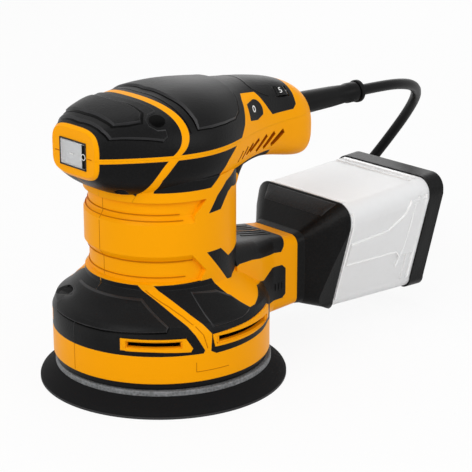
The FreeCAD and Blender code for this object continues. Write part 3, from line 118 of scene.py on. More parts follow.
# Each turn's distance from the coil's centre and its height, in mm.
COIL_PLACES = [(41.0, 15.8), (41.0, 9.8), (41.0, 3.8), (35.0, 3.8), (29.0, 3.8), (29.0, 9.8), (35.0, 9.8),
               (35.0, 15.8), (29.0, 15.8)]
SECTOR = 60.0                 # each turn moves over this many degrees before the last one did
FIRST_MOVE = 60.0             # degrees that the move under the cord's entry takes
LATER_MOVE = 85.0             # degrees that each later move takes, so that it bends gently
POINT_STEP = 10.0             # degrees between the coil's points
# The last turn lies on the coil and rises to the plug: its places, and where it moves to each.
LEAD_PLACES = [(30.0, 22.8), (29.0, 25.8)]
LEAD_TURNS = [(2650.0, 2740.0), (3000.0, 3085.0)]
print("coil places", len(COIL_PLACES))


# %% Winding the cord
def coil_moves():
    """(angle where a move starts, angle where it ends, place after it)"""
    moves = []
    for k in range(1, len(COIL_PLACES)):
        start = 360.0 * k - SECTOR * k
        moves.append((start, start + (FIRST_MOVE if k == 1 else LATER_MOVE), COIL_PLACES[k]))
    return moves + [(a, b, place) for (a, b), place in zip(LEAD_TURNS, LEAD_PLACES)]


def coil_point(angle):
    """Point of the coil after so many degrees, wound clockwise seen from above."""
    r, z = COIL_PLACES[0]
    for start, end, (r_next, z_next) in coil_moves():
        if angle <= start:
            break
        t = min(1.0, (angle - start) / (end - start))
        t = 2.0 * t * t if t < 0.5 else 1.0 - 2.0 * (1.0 - t) ** 2
        r, z = r + (r_next - r) * t, z + (z_next - z) * t
    a = math.radians(-angle)
    return COIL_CENTRE + Vector((r * math.cos(a), r * math.sin(a), z)) * MM


def wind_cord():
    last = LEAD_TURNS[-1][1]
    turns = [coil_point(POINT_STEP * k) for k in range(1, int(last / POINT_STEP) + 1)]
    points = [Vector(p) for p in ROUTE] + turns + [coil_point(last)]
    curve = bpy.data.curves.new("mains_cord", "CURVE")
    curve.dimensions = "3D"
    spline = curve.splines.new("NURBS")
    spline.points.add(len(points) - 1)
    for spot, point in zip(spline.points, points):
        spot.co = (*point, 1.0)
    spline.order_u = 3
    spline.use_endpoint_u = True
    spline.resolution_u = 6
    curve.bevel_depth = CORD_R
    curve.bevel_resolution = 4
    curve.use_fill_caps = True
    cord = bpy.data.objects.new("mains_cord", curve)
    bpy.context.scene.collection.objects.link(cord)
    return cord


cord = wind_cord()

# %% [markdown]
# ## Floor and light
#
# A tool's form shows best in wide soft light. One big lamp stands at the front left, with weaker ones at the
# side, overhead and behind. Brighter lamps would turn the floor white too, but they would bleach the tool.
# So the room and the floor are white only for rays that go straight to the camera, or that a shiny or
# clear part sends on.

# %% Floor, world and lamps
ROOM_LIGHT = 0.47
FLOOR_SHADE = 0.09            # how much of the floor's own shading shows
FLOOR_SIZE = 6.0              # metres from its middle to its edge
WHITE = (1.0, 1.0, 1.0, 1.0)
LAMP_AIM = Vector((-0.05, 0.0, 0.07))


def white_for_looks(tree):
    """1 for rays from the camera, from gloss and through clear parts."""
    path = tree.nodes.new("ShaderNodeLightPath")
    total = path.outputs["Is Camera Ray"]
    for name in ("Is Glossy Ray", "Is Transmission Ray"):
        both = tree.nodes.new("ShaderNodeMath")
        both.operation = "MAXIMUM"
        tree.links.new(total, both.inputs[0])
        tree.links.new(path.outputs[name], both.inputs[1])
        total = both.outputs[0]
    return total


def light_room():
    world = bpy.data.worlds.new("studio")
    bpy.context.scene.world = world
    world.use_nodes = True
    tree = world.node_tree
    sky = tree.nodes["Background"]
    sky.inputs["Color"].default_value = WHITE
    sky.inputs["Strength"].default_value = ROOM_LIGHT
    white = tree.nodes.new("ShaderNodeBackground")
    white.inputs["Color"].default_value = WHITE
    white.inputs["Strength"].default_value = 1.0
    mix = tree.nodes.new("ShaderNodeMixShader")
    tree.links.new(white_for_looks(tree), mix.inputs["Fac"])
    tree.links.new(sky.outputs[0], mix.inputs[1])
    tree.links.new(white.outputs[0], mix.inputs[2])
    tree.links.new(mix.outputs[0], tree.nodes["World Output"].inputs["Surface"])


def floor_paint():
    """Pale grey paint that reads white to the camera and keeps a little of the tool's shadow."""
    paint = bpy.data.materials.new("floor_paint")
    paint.use_nodes = True
    tree = paint.node_tree
    shader = tree.nodes["Principled BSDF"]
    shader.inputs["Base Color"].default_value = (0.82, 0.82, 0.82, 1.0)
    shader.inputs["Roughness"].default_value = 0.9
    shader.inputs["Specular IOR Level"].default_value = 0.1
    glow = tree.nodes.new("ShaderNodeEmission")
    mix = tree.nodes.new("ShaderNodeMixShader")
    part = tree.nodes.new("ShaderNodeMath")
    part.operation = "MULTIPLY"
    part.inputs[1].default_value = 1.0 - FLOOR_SHADE
    tree.links.new(white_for_looks(tree), part.inputs[0])
    tree.links.new(part.outputs[0], mix.inputs["Fac"])
    tree.links.new(shader.outputs[0], mix.inputs[1])
    tree.links.new(glow.outputs[0], mix.inputs[2])
    tree.links.new(mix.outputs[0], tree.nodes["Material Output"].inputs["Surface"])
    return paint


def lay_floor():
    bm = bmesh.new()
    bmesh.ops.create_grid(bm, x_segments=2, y_segments=2, size=FLOOR_SIZE)
    mesh = bpy.data.meshes.new("floor")
    bm.to_mesh(mesh)
    bm.free()
    mesh.materials.append(floor_paint())
    floor = bpy.data.objects.new("floor", mesh)
    bpy.context.scene.collection.objects.link(floor)


def hang_lamp(name, at, size, watts):
    lamp = bpy.data.lights.new(name, "AREA")
    lamp.shape = "RECTANGLE"
    lamp.size, lamp.size_y = size
    lamp.energy = watts
    shown = bpy.data.objects.new(name, lamp)
    shown.location = at
    shown.rotation_euler = (LAMP_AIM - shown.location).to_track_quat("-Z", "Y").to_euler()
    bpy.context.scene.collection.objects.link(shown)


light_room()
lay_floor()
hang_lamp("key_lamp", (0.95, 0.25, 0.75), (0.7, 0.7), 5.6)
hang_lamp("side_lamp", (-0.35, 1.05, 0.6), (0.9, 0.5), 3.6)
hang_lamp("top_lamp", (-0.1, -0.2, 1.1), (0.8, 0.8), 3.2)
hang_lamp("back_lamp", (-0.9, -0.7, 0.5), (0.6, 0.6), 1.6)
print("lamps", len(bpy.data.lights))

# %% [markdown]
# ## Moulded finishes
#
# A moulded part is never one flat colour. Its tool leaves a fine grain, its pigment drifts a little,
# and handling polishes its edges. The edges are painted paler, partly as that rubbed wear and partly as a
# painted highlight where lamps catch them. One function builds that recipe from noise on Object
# coordinates, and each real finish is a short call with its own grain size and gloss. The edges are
# found by comparing the true normal with a rounded one, which also softens the sharp corners.

# %% Shader helpers
def math_node(tree, kind, a, b):
    node = tree.nodes.new("ShaderNodeMath")
    node.operation = kind
    for socket, value in zip(node.inputs, (a, b)):
        if isinstance(value, (int, float)):
            socket.default_value = value
        else:
            tree.links.new(value, socket)
    return node.outputs[0]


def blend_colour(tree, share, first, second):
    node = tree.nodes.new("ShaderNodeMix")
    node.data_type = "RGBA"
    tree.links.new(share, node.inputs["Factor"])
    for socket, value in ((node.inputs[6], first), (node.inputs[7], second)):
        if isinstance(value, tuple):
            socket.default_value = (*value, 1.0)
        else:
            tree.links.new(value, socket)
    return node.outputs[2]


BAND_STEP = 0.314             # metres between the bands of a wave at scale 1


def grain_pattern(tree, kind, size):
    """Grey pattern of that grain size, in metres."""
    place = tree.nodes.new("ShaderNodeTexCoord").outputs["Object"]
    if kind == "cells":
        node = tree.nodes.new("ShaderNodeTexVoronoi")
        node.inputs["Scale"].default_value = 1.0 / size
        out = node.outputs["Distance"]
    elif kind in ("bands_x", "bands_z"):
        node = tree.nodes.new("ShaderNodeTexWave")
        node.bands_direction = kind[-1].upper()
        node.inputs["Scale"].default_value = BAND_STEP / size
        node.inputs["Distortion"].default_value = 0.4
        out = node.outputs["Fac"]
    else:
        node = tree.nodes.new("ShaderNodeTexNoise")
        node.inputs["Scale"].default_value = 1.0 / size
        node.inputs["Detail"].default_value = 3.0
        out = node.outputs["Fac"]
    tree.links.new(place, node.inputs["Vector"])
    return out


print("shader helpers ready")

# %% The recipe
EDGE_R = 0.55 * MM            # width over which an edge is rounded
EDGE_WEAR_AND_SHEEN = 6.0               # how soon a rounded edge shows as rubbed and as painted highlight
SLOW_GRAIN = 14.0 * MM        # size of the pigment's patches
SLOW_SHARE = 0.4
FINE_SHARE = 0.6
GLOSS_SPREAD = 0.12           # roughness between a patch's smooth and dull places
BUMP = 0.6


def softened_normal(tree):
    """The surface's normal, rounded at the corners."""
    rounded = tree.nodes.new("ShaderNodeBevel")
    rounded.samples = 4
    rounded.inputs["Radius"].default_value = EDGE_R
    return rounded.outputs[0]


def rubbed_and_lit_share(tree, rounded, slow):
    """Up to 1 at corners, painted paler as rubbed wear and as painted highlight, and 0 on flat places."""
    facing = tree.nodes.new("ShaderNodeVectorMath")
    facing.operation = "DOT_PRODUCT"
    tree.links.new(rounded, facing.inputs[0])
    tree.links.new(tree.nodes.new("ShaderNodeNewGeometry").outputs["True Normal"], facing.inputs[1])
    bent = math_node(tree, "SUBTRACT", 1.0, facing.outputs["Value"])
    edge = math_node(tree, "MULTIPLY", bent, EDGE_WEAR_AND_SHEEN)
    return math_node(tree, "MINIMUM", math_node(tree, "MULTIPLY", edge, slow), 1.0)


def finish(name, colour, rough, grain, depth, kind="noise", drift=0.12, rubbed_and_lit_edge=None, **direct):
    """A procedural finish; direct are inputs set on the shader itself."""
    paint = bpy.data.materials.new(name)
    paint.use_nodes = True
    tree = paint.node_tree
    shader = tree.nodes["Principled BSDF"]
    for key, value in direct.items():
        shader.inputs[key.replace("_", " ")].default_value = value
    fine = grain_pattern(tree, kind, grain)
    slow = grain_pattern(tree, "noise", SLOW_GRAIN)
    mixed = math_node(tree, "ADD", math_node(tree, "MULTIPLY", slow, SLOW_SHARE),
                      math_node(tree, "MULTIPLY", fine, FINE_SHARE))
    dark = tuple(c * (1.0 - drift) for c in colour)
    light = tuple(min(1.0, c * (1.0 + drift)) for c in colour)
    shade = blend_colour(tree, mixed, dark, light)
    rounded = softened_normal(tree)
    # Edges are painted paler: partly rubbed wear, partly painted highlight.
    rubbed_and_lit_edge = rubbed_and_lit_edge or tuple(min(1.0, c * 1.25 + 0.01) for c in colour)
    tree.links.new(blend_colour(tree, rubbed_and_lit_share(tree, rounded, slow), shade, rubbed_and_lit_edge),
                   shader.inputs["Base Color"])
    spread = math_node(tree, "MULTIPLY", mixed, GLOSS_SPREAD)
    tree.links.new(math_node(tree, "ADD", rough - GLOSS_SPREAD / 2, spread), shader.inputs["Roughness"])
    bump = tree.nodes.new("ShaderNodeBump")
    bump.inputs["Strength"].default_value = BUMP
    bump.inputs["Distance"].default_value = depth
    tree.links.new(fine, bump.inputs["Height"])
    tree.links.new(rounded, bump.inputs["Normal"])
    tree.links.new(bump.outputs[0], shader.inputs["Normal"])
    return paint


print("recipe ready")

# %% [markdown]
# ## One finish for each real material
#
# The orange shell is a satin plastic, the grips are a soft rubber moulded over it with a leathery grain, and
# the dust box is clear plastic. Inside, the motor has stamped steel, enamelled copper wire, brass and
# carbon. Each could have a painted image, but a few numbers in one recipe are easier to change and look
# sharp from any distance. The wire and the stacked sheets show as fine bands.

# %% Finishes
finishes = {
    "orange_plastic": finish("orange_shell", (0.97, 0.375, 0.0), 0.36, 0.5 * MM, 0.02 * MM, drift=0.03,
                             rubbed_and_lit_edge=(1.0, 0.44, 0.005), Specular_IOR_Level=0.05),
    "grip_rubber": finish("grip_rubber", (0.0042, 0.0042, 0.0044), 0.40, 0.9 * MM, 0.10 * MM, "cells",
                          drift=0.7, rubbed_and_lit_edge=(0.05, 0.05, 0.05), Specular_IOR_Level=0.10),
    "black_plastic": finish("black_shell", (0.0048, 0.0048, 0.0050), 0.36, 1.1 * MM, 0.10 * MM, "cells",
                            drift=0.8, rubbed_and_lit_edge=(0.05, 0.05, 0.05), Specular_IOR_Level=0.10),
    "clear_plastic": finish("clear_box", (0.95, 0.955, 0.96), 0.30, 3.0 * MM, 0.02 * MM, drift=0.04,
                            rubbed_and_lit_edge=(1.0, 1.0, 1.0), Transmission_Weight=0.20, IOR=1.2),
    "boot_clear": finish("switch_cover", (0.86, 0.87, 0.88), 0.10, 1.0 * MM, 0.01 * MM, drift=0.03,
                         Transmission_Weight=0.55, IOR=1.25, Coat_Weight=0.6),
    "switch_grey": finish("switch_grey", (0.66, 0.67, 0.68), 0.25, 0.4 * MM, 0.01 * MM, drift=0.05),
    "hook_pile": finish("hook_pile", (0.02, 0.02, 0.021), 0.9, 0.7 * MM, 0.25 * MM, "cells", drift=0.4),
    "foam": finish("pad_foam", (0.006, 0.006, 0.0065), 0.75, 0.6 * MM, 0.10 * MM, "cells", drift=0.3,
                   rubbed_and_lit_edge=(0.02, 0.02, 0.02), Specular_IOR_Level=0.08),
    "plate_plastic": finish("plate_grey", (0.15, 0.155, 0.16), 0.55, 1.3 * MM, 0.10 * MM, "cells",
                            drift=0.95),
    "cord_rubber": finish("cord_rubber", (0.003, 0.003, 0.0032), 0.40, 0.5 * MM, 0.02 * MM, drift=0.2,
                          rubbed_and_lit_edge=(0.01, 0.01, 0.01), Specular_IOR_Level=0.10),
    "tie_plastic": finish("tie_plastic", (0.02, 0.02, 0.02), 0.4, 0.5 * MM, 0.02 * MM),
    "steel": finish("turned_steel", (0.55, 0.55, 0.56), 0.32, 0.25 * MM, 0.01 * MM, "bands_z", Metallic=1.0),
    "screw_steel": finish("screw_steel", (0.42, 0.40, 0.36), 0.36, 0.3 * MM, 0.01 * MM, Metallic=1.0),
    "bearing_steel": finish("bearing_steel", (0.62, 0.62, 0.63), 0.22, 0.4 * MM, 0.005 * MM, Metallic=1.0),
    "iron": finish("cast_iron", (0.25, 0.25, 0.26), 0.55, 0.5 * MM, 0.05 * MM, Metallic=0.9),
    "alloy": finish("cast_alloy", (0.60, 0.61, 0.62), 0.42, 0.6 * MM, 0.04 * MM, Metallic=1.0),
    "fan_plastic": finish("fan_nylon", (0.03, 0.03, 0.032), 0.5, 0.4 * MM, 0.02 * MM),
    "lamination": finish("stacked_steel", (0.30, 0.30, 0.32), 0.4, 0.5 * MM, 0.06 * MM, "bands_z",
                         Metallic=0.9),
    "copper": finish("enamelled_wire", (0.52, 0.17, 0.05), 0.3, 0.6 * MM, 0.12 * MM, "bands_z",
                     Metallic=0.8),
    "brass": finish("brass", (0.70, 0.48, 0.18), 0.3, 0.5 * MM, 0.02 * MM, Metallic=1.0),
    "carbon": finish("carbon_brush", (0.02, 0.02, 0.02), 0.6, 0.3 * MM, 0.03 * MM),
    "filter_paper": finish("filter_paper", (0.75, 0.72, 0.64), 0.85, 0.4 * MM, 0.04 * MM),
}
print("finishes", len(finishes))

# %% [markdown]
# ## Finishes for lines, edges and marks
#
# Small details catch the light differently from the part they sit on. A raised rubber panel gets a paler
# edge as painted highlight, a groove between two mouldings is painted nearly black and a cut in the orange
# shell a deeper orange, both as painted shade. Lamps alone would show these only in a very large picture, so
# each has its own finish.

# %% Extra finishes
white_ink = finish("white_ink", (0.85, 0.85, 0.83), 0.5, 0.3 * MM, 0.005 * MM, drift=0.04)
# Painted highlight: a paler rubber for the sloped rims of the raised panels.
rubber_edge = finish("rubber_edge", (0.018, 0.018, 0.019), 0.38, 0.6 * MM, 0.03 * MM, drift=0.3,
                     rubbed_and_lit_edge=(0.08, 0.08, 0.08), Specular_IOR_Level=0.2)
# Painted highlight: a paler black for the funnel's top facet, which faces the lamps.
facet_black = finish("facet_black", (0.015, 0.015, 0.016), 0.40, 1.1 * MM, 0.08 * MM, "cells", drift=0.6,
                     rubbed_and_lit_edge=(0.05, 0.05, 0.05), Specular_IOR_Level=0.15)
# Painted highlight: a brighter white for the clear box's ribs and lips.
box_edge = finish("box_edge", (1.0, 1.0, 1.0), 0.25, 3.0 * MM, 0.01 * MM, drift=0.02)
# Painted shade: near-black for grooves, pockets, the shoulder's foot line and the rocker's gap.
pocket_black = finish("pocket_black", (0.0008, 0.0008, 0.0008), 0.25, 2.0 * MM, 0.002 * MM, drift=0.1,
                      rubbed_and_lit_edge=(0.02, 0.02, 0.02), Specular_IOR_Level=0.03)
vent_shadow = finish("vent_shadow", (0.70, 0.17, 0.0), 0.6, 0.5 * MM, 0.01 * MM, drift=0.1,
                     rubbed_and_lit_edge=(0.3, 0.09, 0.0), Specular_IOR_Level=0.05)
# Painted shade: a deeper orange for grooves and lines cut in the orange shell.
groove_shade = finish("groove_shadow", (0.60, 0.195, 0.0), 0.6, 0.5 * MM, 0.01 * MM, drift=0.1,
                     rubbed_and_lit_edge=(0.60, 0.195, 0.0), Specular_IOR_Level=0.05)
print("materials", len(bpy.data.materials))

# %% [markdown]
# ## Painting the solid model
#
# Nearly every piece of the real tool is one material right through. The solid model's record already says
# which, so each node takes the finish of its own slot. Setting them by hand would be slower.

# %% Paint the solid model's nodes
slot_of = {part["node"]: part["material_slot"] for part in frame["record"]["subparts"]}


def paint_node(node):
    paint = finishes[slot_of[node.name]]
    if not node.material_slots:
        node.data.materials.append(paint)
    for spot in node.material_slots:
        spot.material = paint


for node in nodes.values():
    paint_node(node)
print("painted", len(slot_of))

# %% [markdown]
# ## Smooth shells
#
# A moulded shell is smooth, but the solid model's faces are loose triangles, so each reflects light as a
# small flat plate. Smoothing the model itself would change it. So a shell that shows is copied, its doubled
# corners are merged, and only edges that turn sharply stay sharp. The copy stands for the node it was made
# from.

# %% Smooth copies
SHARP = math.radians(28.0)    # edges that turn further than this stay sharp
CORNER_MERGE = 0.002 * MM
SHELLS = ["housing_left", "housing_right", "housing_left_grip", "housing_right_grip", "top_cover",
          "top_cover_grip", "side_badge", "dust_adapter", "dust_container", "container_cap", "foam_pad",
          "hook_face", "backing_plate", "brake_ring", "switch_boot", "switch_rocker", "speed_dial",
          "plug_body", "plug_pins", "cord_tie"]


def body_of_node(name):
    return next(body for body, empty in frame["bodies"].items() if nodes[name].parent == empty)


def soften(bm):
    """Smooth shading everywhere but over sharp edges."""
    for face in bm.faces:
        face.smooth = True
    for edge in bm.edges:
        if len(edge.link_faces) == 2:
            edge.smooth = edge.calc_face_angle(0.0) < SHARP


def smooth_copy(name):
    bm = bmesh.new()
    bm.from_mesh(nodes[name].data)
    bmesh.ops.remove_doubles(bm, verts=bm.verts, dist=CORNER_MERGE)
    soften(bm)
    mesh = bpy.data.meshes.new(name + "_skin")
    bm.to_mesh(mesh)
    bm.free()
    mesh.materials.append(finishes[slot_of[name]])
    skin = bpy.data.objects.new(name + "_skin", mesh)
    bpy.context.scene.collection.objects.link(skin)
    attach(skin, body_of_node(name))
    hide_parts(name)
    return skin


skins = {name: smooth_copy(name) for name in SHELLS}
print("smooth shells", len(skins), "faces", sum(len(s.data.polygons) for s in skins.values()))

# %% [markdown]
# ## Two colours in one moulding
#
# The soft grip runs down the front of the tool in one piece, but the short length between the head and the
# turned column is orange. The screw bores under the grips look black inside, and the walls of the air
# slots lie in shadow. Each could be a separate piece. Giving a few faces of a shell a second finish is
# simpler, and leaves no gap.

# %% Second finishes on the shells
COLUMN_FROM_X = 6.0 * MM
COLUMN_Z = (90.0 * MM, 103.4 * MM)
COLUMN_R = 38.2 * MM
SIDE_BORE = (40.5 * MM, 45.5 * MM)      # place along X, height
NOSE_BORE = (37.5 * MM, 17.5 * MM)      # place along X, distance from the middle plane
NOSE_BORE_Z = (98.0 * MM, 111.0 * MM)
BORE_R = 4.0 * MM
VENTS_X = (-67.5 * MM, -21.5 * MM)
VENTS_Z = (111.8 * MM, 118.8 * MM)
SIDEWAYS = 0.45               # a face that turns further sideways than this is the shell's own side


def in_column(face):
    """The column's front, above its turned lines."""
    at = face.center
    return at.x > COLUMN_FROM_X and COLUMN_Z[0] < at.z < COLUMN_Z[1] and at.xy.length < COLUMN_R


def in_front_bore(face):
    """Screw bores that open through the soft grips at the front."""
    at = face.center
    from_side = math.hypot(at.x - SIDE_BORE[0], at.z - SIDE_BORE[1])
    from_below = math.hypot(at.x - NOSE_BORE[0], abs(at.y) - NOSE_BORE[1])
    nose = NOSE_BORE_Z[0] < at.z < NOSE_BORE_Z[1]
    return (at.y < 0 and from_side < BORE_R) or (nose and from_below < BORE_R)


def in_vent(face):
    """Walls of the tail's slanted air slots, which don't face sideways."""
    at = face.center
    inside = VENTS_X[0] < at.x < VENTS_X[1] and VENTS_Z[0] < at.z < VENTS_Z[1]
    return inside and abs(face.normal.y) < SIDEWAYS


def repaint(skin, paint, chosen):
    """Gives the chosen faces another finish, and counts them."""
    skin.data.materials.append(paint)
    place = len(skin.data.materials) - 1
    faces = [face for face in skin.data.polygons if chosen(face)]
    for face in faces:
        face.material_index = place
    return len(faces)


for side in ("left", "right"):
    column = repaint(skins[f"housing_{side}_grip"], finishes["orange_plastic"], in_column)
    bores = repaint(skins[f"housing_{side}"], finishes["grip_rubber"], in_front_bore)
    # The vents' walls get a deeper orange as painted shade.
    vents = repaint(skins[f"housing_{side}"], vent_shadow, in_vent)
    print(side, "column", column, "bores", bores, "vents", vents)

# %% [markdown]
# ## Raised panels, the way a mould makes them
#
# A soft panel is as curved as the shell under it. It could be sculpted, or cut from a copy of the shell.
# Here it is drawn flat first, in two handy coordinates, then sliced into small cells and pressed onto the
# shell by casting a ray for every corner, so that its outline stays easy to change. An inset round the
# outline becomes the sloped rim. The panel gets its thickness inwards, so its foot is sunk in the shell. The
# same helper makes terraces, ribs and thin marks. First come the ways to look at a shell: from round the
# head, from round the column and straight from a side.

# %% Ways to look at a shell
HEAD_AXIS_Z = 118.0 * MM
CAST_FROM = 0.12              # metres from the axis or middle plane at which a ray starts
UNDER_TAIL_Z = 90.0 * MM
OVER_ALL_Z = 200.0 * MM
DOWN = Vector((0.0, 0.0, -1.0))


def tree_of(names):
    bm = bmesh.new()
    for name in names:
        bm.from_mesh(nodes[name].data)
    tree = BVHTree.FromBMesh(bm)
    bm.free()
    return tree


def round_head(u, v):
    """u: place along X in mm, v: degrees from straight up, about the head's long axis."""
    a = math.radians(v)
    out = Vector((0.0, math.sin(a), math.cos(a)))
    return Vector((u * MM, 0.0, HEAD_AXIS_Z)) + out * CAST_FROM, -out


def round_column(u, v):
    """u: degrees round the motor's axis, v: height in mm."""
    a = math.radians(u)
    out = Vector((math.cos(a), math.sin(a), 0.0))
    return Vector((0.0, 0.0, v * MM)) + out * CAST_FROM, -out


def from_left(u, v):
    return Vector((u * MM, CAST_FROM, v * MM)), Vector((0.0, -1.0, 0.0))


def from_right(u, v):
    return Vector((u * MM, -CAST_FROM, v * MM)), Vector((0.0, 1.0, 0.0))


def under_tail(u, v):
    """Straight down onto the duct, from just below the tail."""
    return Vector((u * MM, v * MM, UNDER_TAIL_Z)), DOWN


def from_over(u, v):
    """Straight down from above everything."""
    return Vector((u * MM, v * MM, OVER_ALL_Z)), DOWN


def from_front(u, v):
    """Straight back onto the nose; u is across and v is the height."""
    return Vector((CAST_FROM, u * MM, v * MM)), Vector((-1.0, 0.0, 0.0))


# What one step of u and of v measures in mm on the shell, where it isn't 1.
MM_PER_STEP = {round_head: (1.0, 0.52), round_column: (0.85, 1.0)}
print("ways to look", 7)

# %% Pressing a flat outline onto a shell
CUT_MERGE = 1e-5              # mm within which a cut takes a corner that is already there
EDGE_LIFT = 0.03 * MM         # height of a rim's outer line above the shell


def to_edge(spot, corners):
    """Distance from a flat point to the nearest side of an outline."""
    best = 1e9
    for start, end in zip(corners, corners[1:] + corners[:1]):
        side = end - start
        part = min(1.0, max(0.0, (spot - start).dot(side) / side.length_squared))
        best = min(best, (spot - start - side * part).length)
    return best


def slice_flat(flat, corners, step):
    """Cuts a flat face both ways into cells no wider than the step."""
    for axis, normal in ((0, Vector((1, 0, 0))), (1, Vector((0, 1, 0)))):
        low = min(p[axis] for p in corners)
        high = max(p[axis] for p in corners)
        cuts = int((high - low) / step[axis])
        for k in range(1, cuts + 1):
            at = normal * (low + (high - low) * k / (cuts + 1))
            bmesh.ops.bisect_plane(flat, geom=flat.verts[:] + flat.edges[:] + flat.faces[:], plane_co=at,
                                   plane_no=normal, dist=CUT_MERGE)


def draw_flat(corners, step, rim):
    """A flat face with that outline, with a ring rim mm wide along its edge, sliced into cells."""
    flat = bmesh.new()
    whole = flat.faces.new([flat.verts.new(corner) for corner in corners])
    flat.normal_update()
    if rim:
        slope = bmesh.ops.inset_region(flat, faces=[whole], thickness=rim, use_boundary=True)
        for face in slope["faces"]:
            face.material_index = 1
    slice_flat(flat, corners, step)
    return flat


def press_on(bm, outline, aim, tree, height, sunk, cell, rim):
    """Lays a flat outline on a shell and raises it, with a slope rim mm wide along its edge."""
    unit = MM_PER_STEP.get(aim, (1.0, 1.0))
    corners = [Vector((u * unit[0], v * unit[1], 0.0)) for u, v in outline]
    flat = draw_flat(corners, (cell[0] * unit[0], cell[1] * unit[1]), rim)
    for vert in flat.verts:
        start, way = aim(vert.co.x / unit[0], vert.co.y / unit[1])
        spot, _, _, _ = tree.ray_cast(start, way)
        if spot is None:
            raise ValueError("a panel's corner misses the shell")
        part = min(1.0, to_edge(vert.co, corners) / rim) if rim else 1.0
        vert.co = spot - way * (EDGE_LIFT + height * part)
    level = [v for v in flat.verts if not v.is_boundary and all(f.material_index == 0 for f in v.link_faces)]
    for _ in range(2 if rim else 0):
        bmesh.ops.smooth_vert(flat, verts=level, factor=0.5, use_axis_x=True, use_axis_y=True,
                              use_axis_z=True)
    bmesh.ops.recalc_face_normals(flat, faces=flat.faces)
    if flat.faces[:][0].normal.dot(aim(*outline[0])[1]) > 0:
        bmesh.ops.reverse_faces(flat, faces=flat.faces)
    bmesh.ops.solidify(flat, geom=flat.faces[:], thickness=(height if not rim else 0.0) + sunk)
    mesh = bpy.data.meshes.new("flat")
    flat.to_mesh(mesh)
    flat.free()
    bm.from_mesh(mesh)
    bpy.data.meshes.remove(mesh)


print("pressing ready")


# %% From a mesh to a finished piece
def finish_piece(bm, name, body, slot, paint=None):
    """Makes a piece of the mesh and ties it to its body and its slot."""
    bmesh.ops.recalc_face_normals(bm, faces=bm.faces)
    soften(bm)
    mesh = bpy.data.meshes.new(name)
    bm.to_mesh(mesh)
    bm.free()
    mesh.materials.append(paint or finishes[slot])
    piece = bpy.data.objects.new(name, mesh)
    bpy.context.scene.collection.objects.link(piece)
    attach(piece, body)
    print(name, len(mesh.polygons), "faces")
    return piece


def panel(name, outlines, aim, shell, slot, height=0.5, sunk=0.4, cell=(2.5, 4.0), rim=0.3, body="housing",
          paint=None, edge=None):
    """One piece made of one or more raised outlines; aims may be one function or one for each."""
    bm = bmesh.new()
    aims = aim if isinstance(aim, list) else [aim] * len(outlines)
    for outline, way in zip(outlines, aims):
        press_on(bm, outline, way, shell, height * MM, sunk * MM, cell, rim)
    piece = finish_piece(bm, name, body, slot, paint)
    piece.data.materials.append(edge or paint or finishes[slot])
    return piece


print("finishing ready")


# %% Ways to draw outlines
def both_sides(half):
    """Closed outline from its left half, which runs from the middle line out and back to it."""
    return half + [(u, -v) for u, v in reversed(half) if abs(v) > 1e-6]


def ribbon(points, width):
    """Outline of a strip along a line of points."""
    left, right = [], []
    for k, (u, v) in enumerate(points):
        before = points[max(0, k - 1)]
        after = points[min(len(points) - 1, k + 1)]
        along = Vector((after[0] - before[0], after[1] - before[1])).normalized()
        side = Vector((-along.y, along.x)) * width / 2
        left.append((u + side.x, v + side.y))
        right.append((u - side.x, v - side.y))
    return left + right[::-1]


def strips(points, width):
    """Four-cornered pieces of a strip, one for each length of its line."""
    line = ribbon(points, width)
    last = len(line) - 1
    return [[line[k], line[k + 1], line[last - k - 1], line[last - k]] for k in range(len(points) - 1)]


def mirrored(points):
    """A line drawn on one side, carried on over the middle to the other side."""
    return [(u, -v) for u, v in reversed(points)] + [p for p in points if abs(p[1]) > 1e-6]


head_shell = tree_of(["top_cover", "top_cover_grip", "housing_left", "housing_right", "housing_left_grip",
                      "housing_right_grip"])
print("outline helpers ready")

# %% [markdown]
# ## The palm panel
#
# The rubber on the dome is thicker where the palm presses, so the grip has one broad raised panel there. It
# could be part of the solid cover, but its slope is low and follows the dome, so it is pressed on. The
# outline is drawn for one side, as places along the head and degrees from the top, and mirrored.

# %% Rear palm panel
REAR_PANEL = [(9.0, 0.0), (8.1, 10.5), (7.9, 30.5), (6.5, 43.6), (5.7, 60.0), (5.9, 66.5), (-3.0, 67.0),
              (-12.7, 66.0), (-22.5, 63.6), (-27.5, 57.3), (-30.4, 47.0), (-31.6, 37.7), (-32.4, 15.0),
              (-32.6, 0.0)]
# Its rim takes the paler rubber as a painted highlight.
panel("palm_panel", [both_sides(REAR_PANEL)], round_head, head_shell, "grip_rubber", height=1.1,
      rim=0.9, edge=rubber_edge)

# %% [markdown]
# ## The finger terrace and its pad
#
# At the front, where the fingers lie, the rubber rises in two steps: a terrace, and a smaller pad on it. One
# panel with a stepped height would need a ring of its own for each step. Two panels are simpler, and the
# pad is sunk deeper, so that no gap shows under it.

# %% Front finger terrace and pad
TERRACE = [(48.3, 0.0), (47.9, 15.0), (47.7, 28.7), (47.2, 41.6), (45.8, 54.0), (35.0, 62.0), (24.2, 69.0),
           (21.7, 66.5), (21.4, 60.5), (25.2, 59.0), (27.6, 54.0), (27.4, 49.0), (25.0, 44.6), (20.6, 43.2),
           (20.3, 38.0), (22.8, 19.8), (24.0, 4.0), (24.1, 0.0)]
PAD = [(44.4, 0.0), (44.1, 12.0), (44.0, 26.9), (42.8, 43.0), (36.5, 48.0), (30.4, 50.0), (29.0, 45.5),
       (27.0, 41.0), (27.4, 28.3), (29.0, 12.0), (29.3, 0.0)]
# Both rims take the paler rubber as a painted highlight.
panel("finger_terrace", [both_sides(TERRACE)], round_head, head_shell, "grip_rubber", height=0.9,
      rim=0.8, edge=rubber_edge)
panel("finger_pad", [both_sides(PAD)], round_head, head_shell, "grip_rubber", height=2.0, sunk=0.8,
      rim=1.5, edge=rubber_edge)
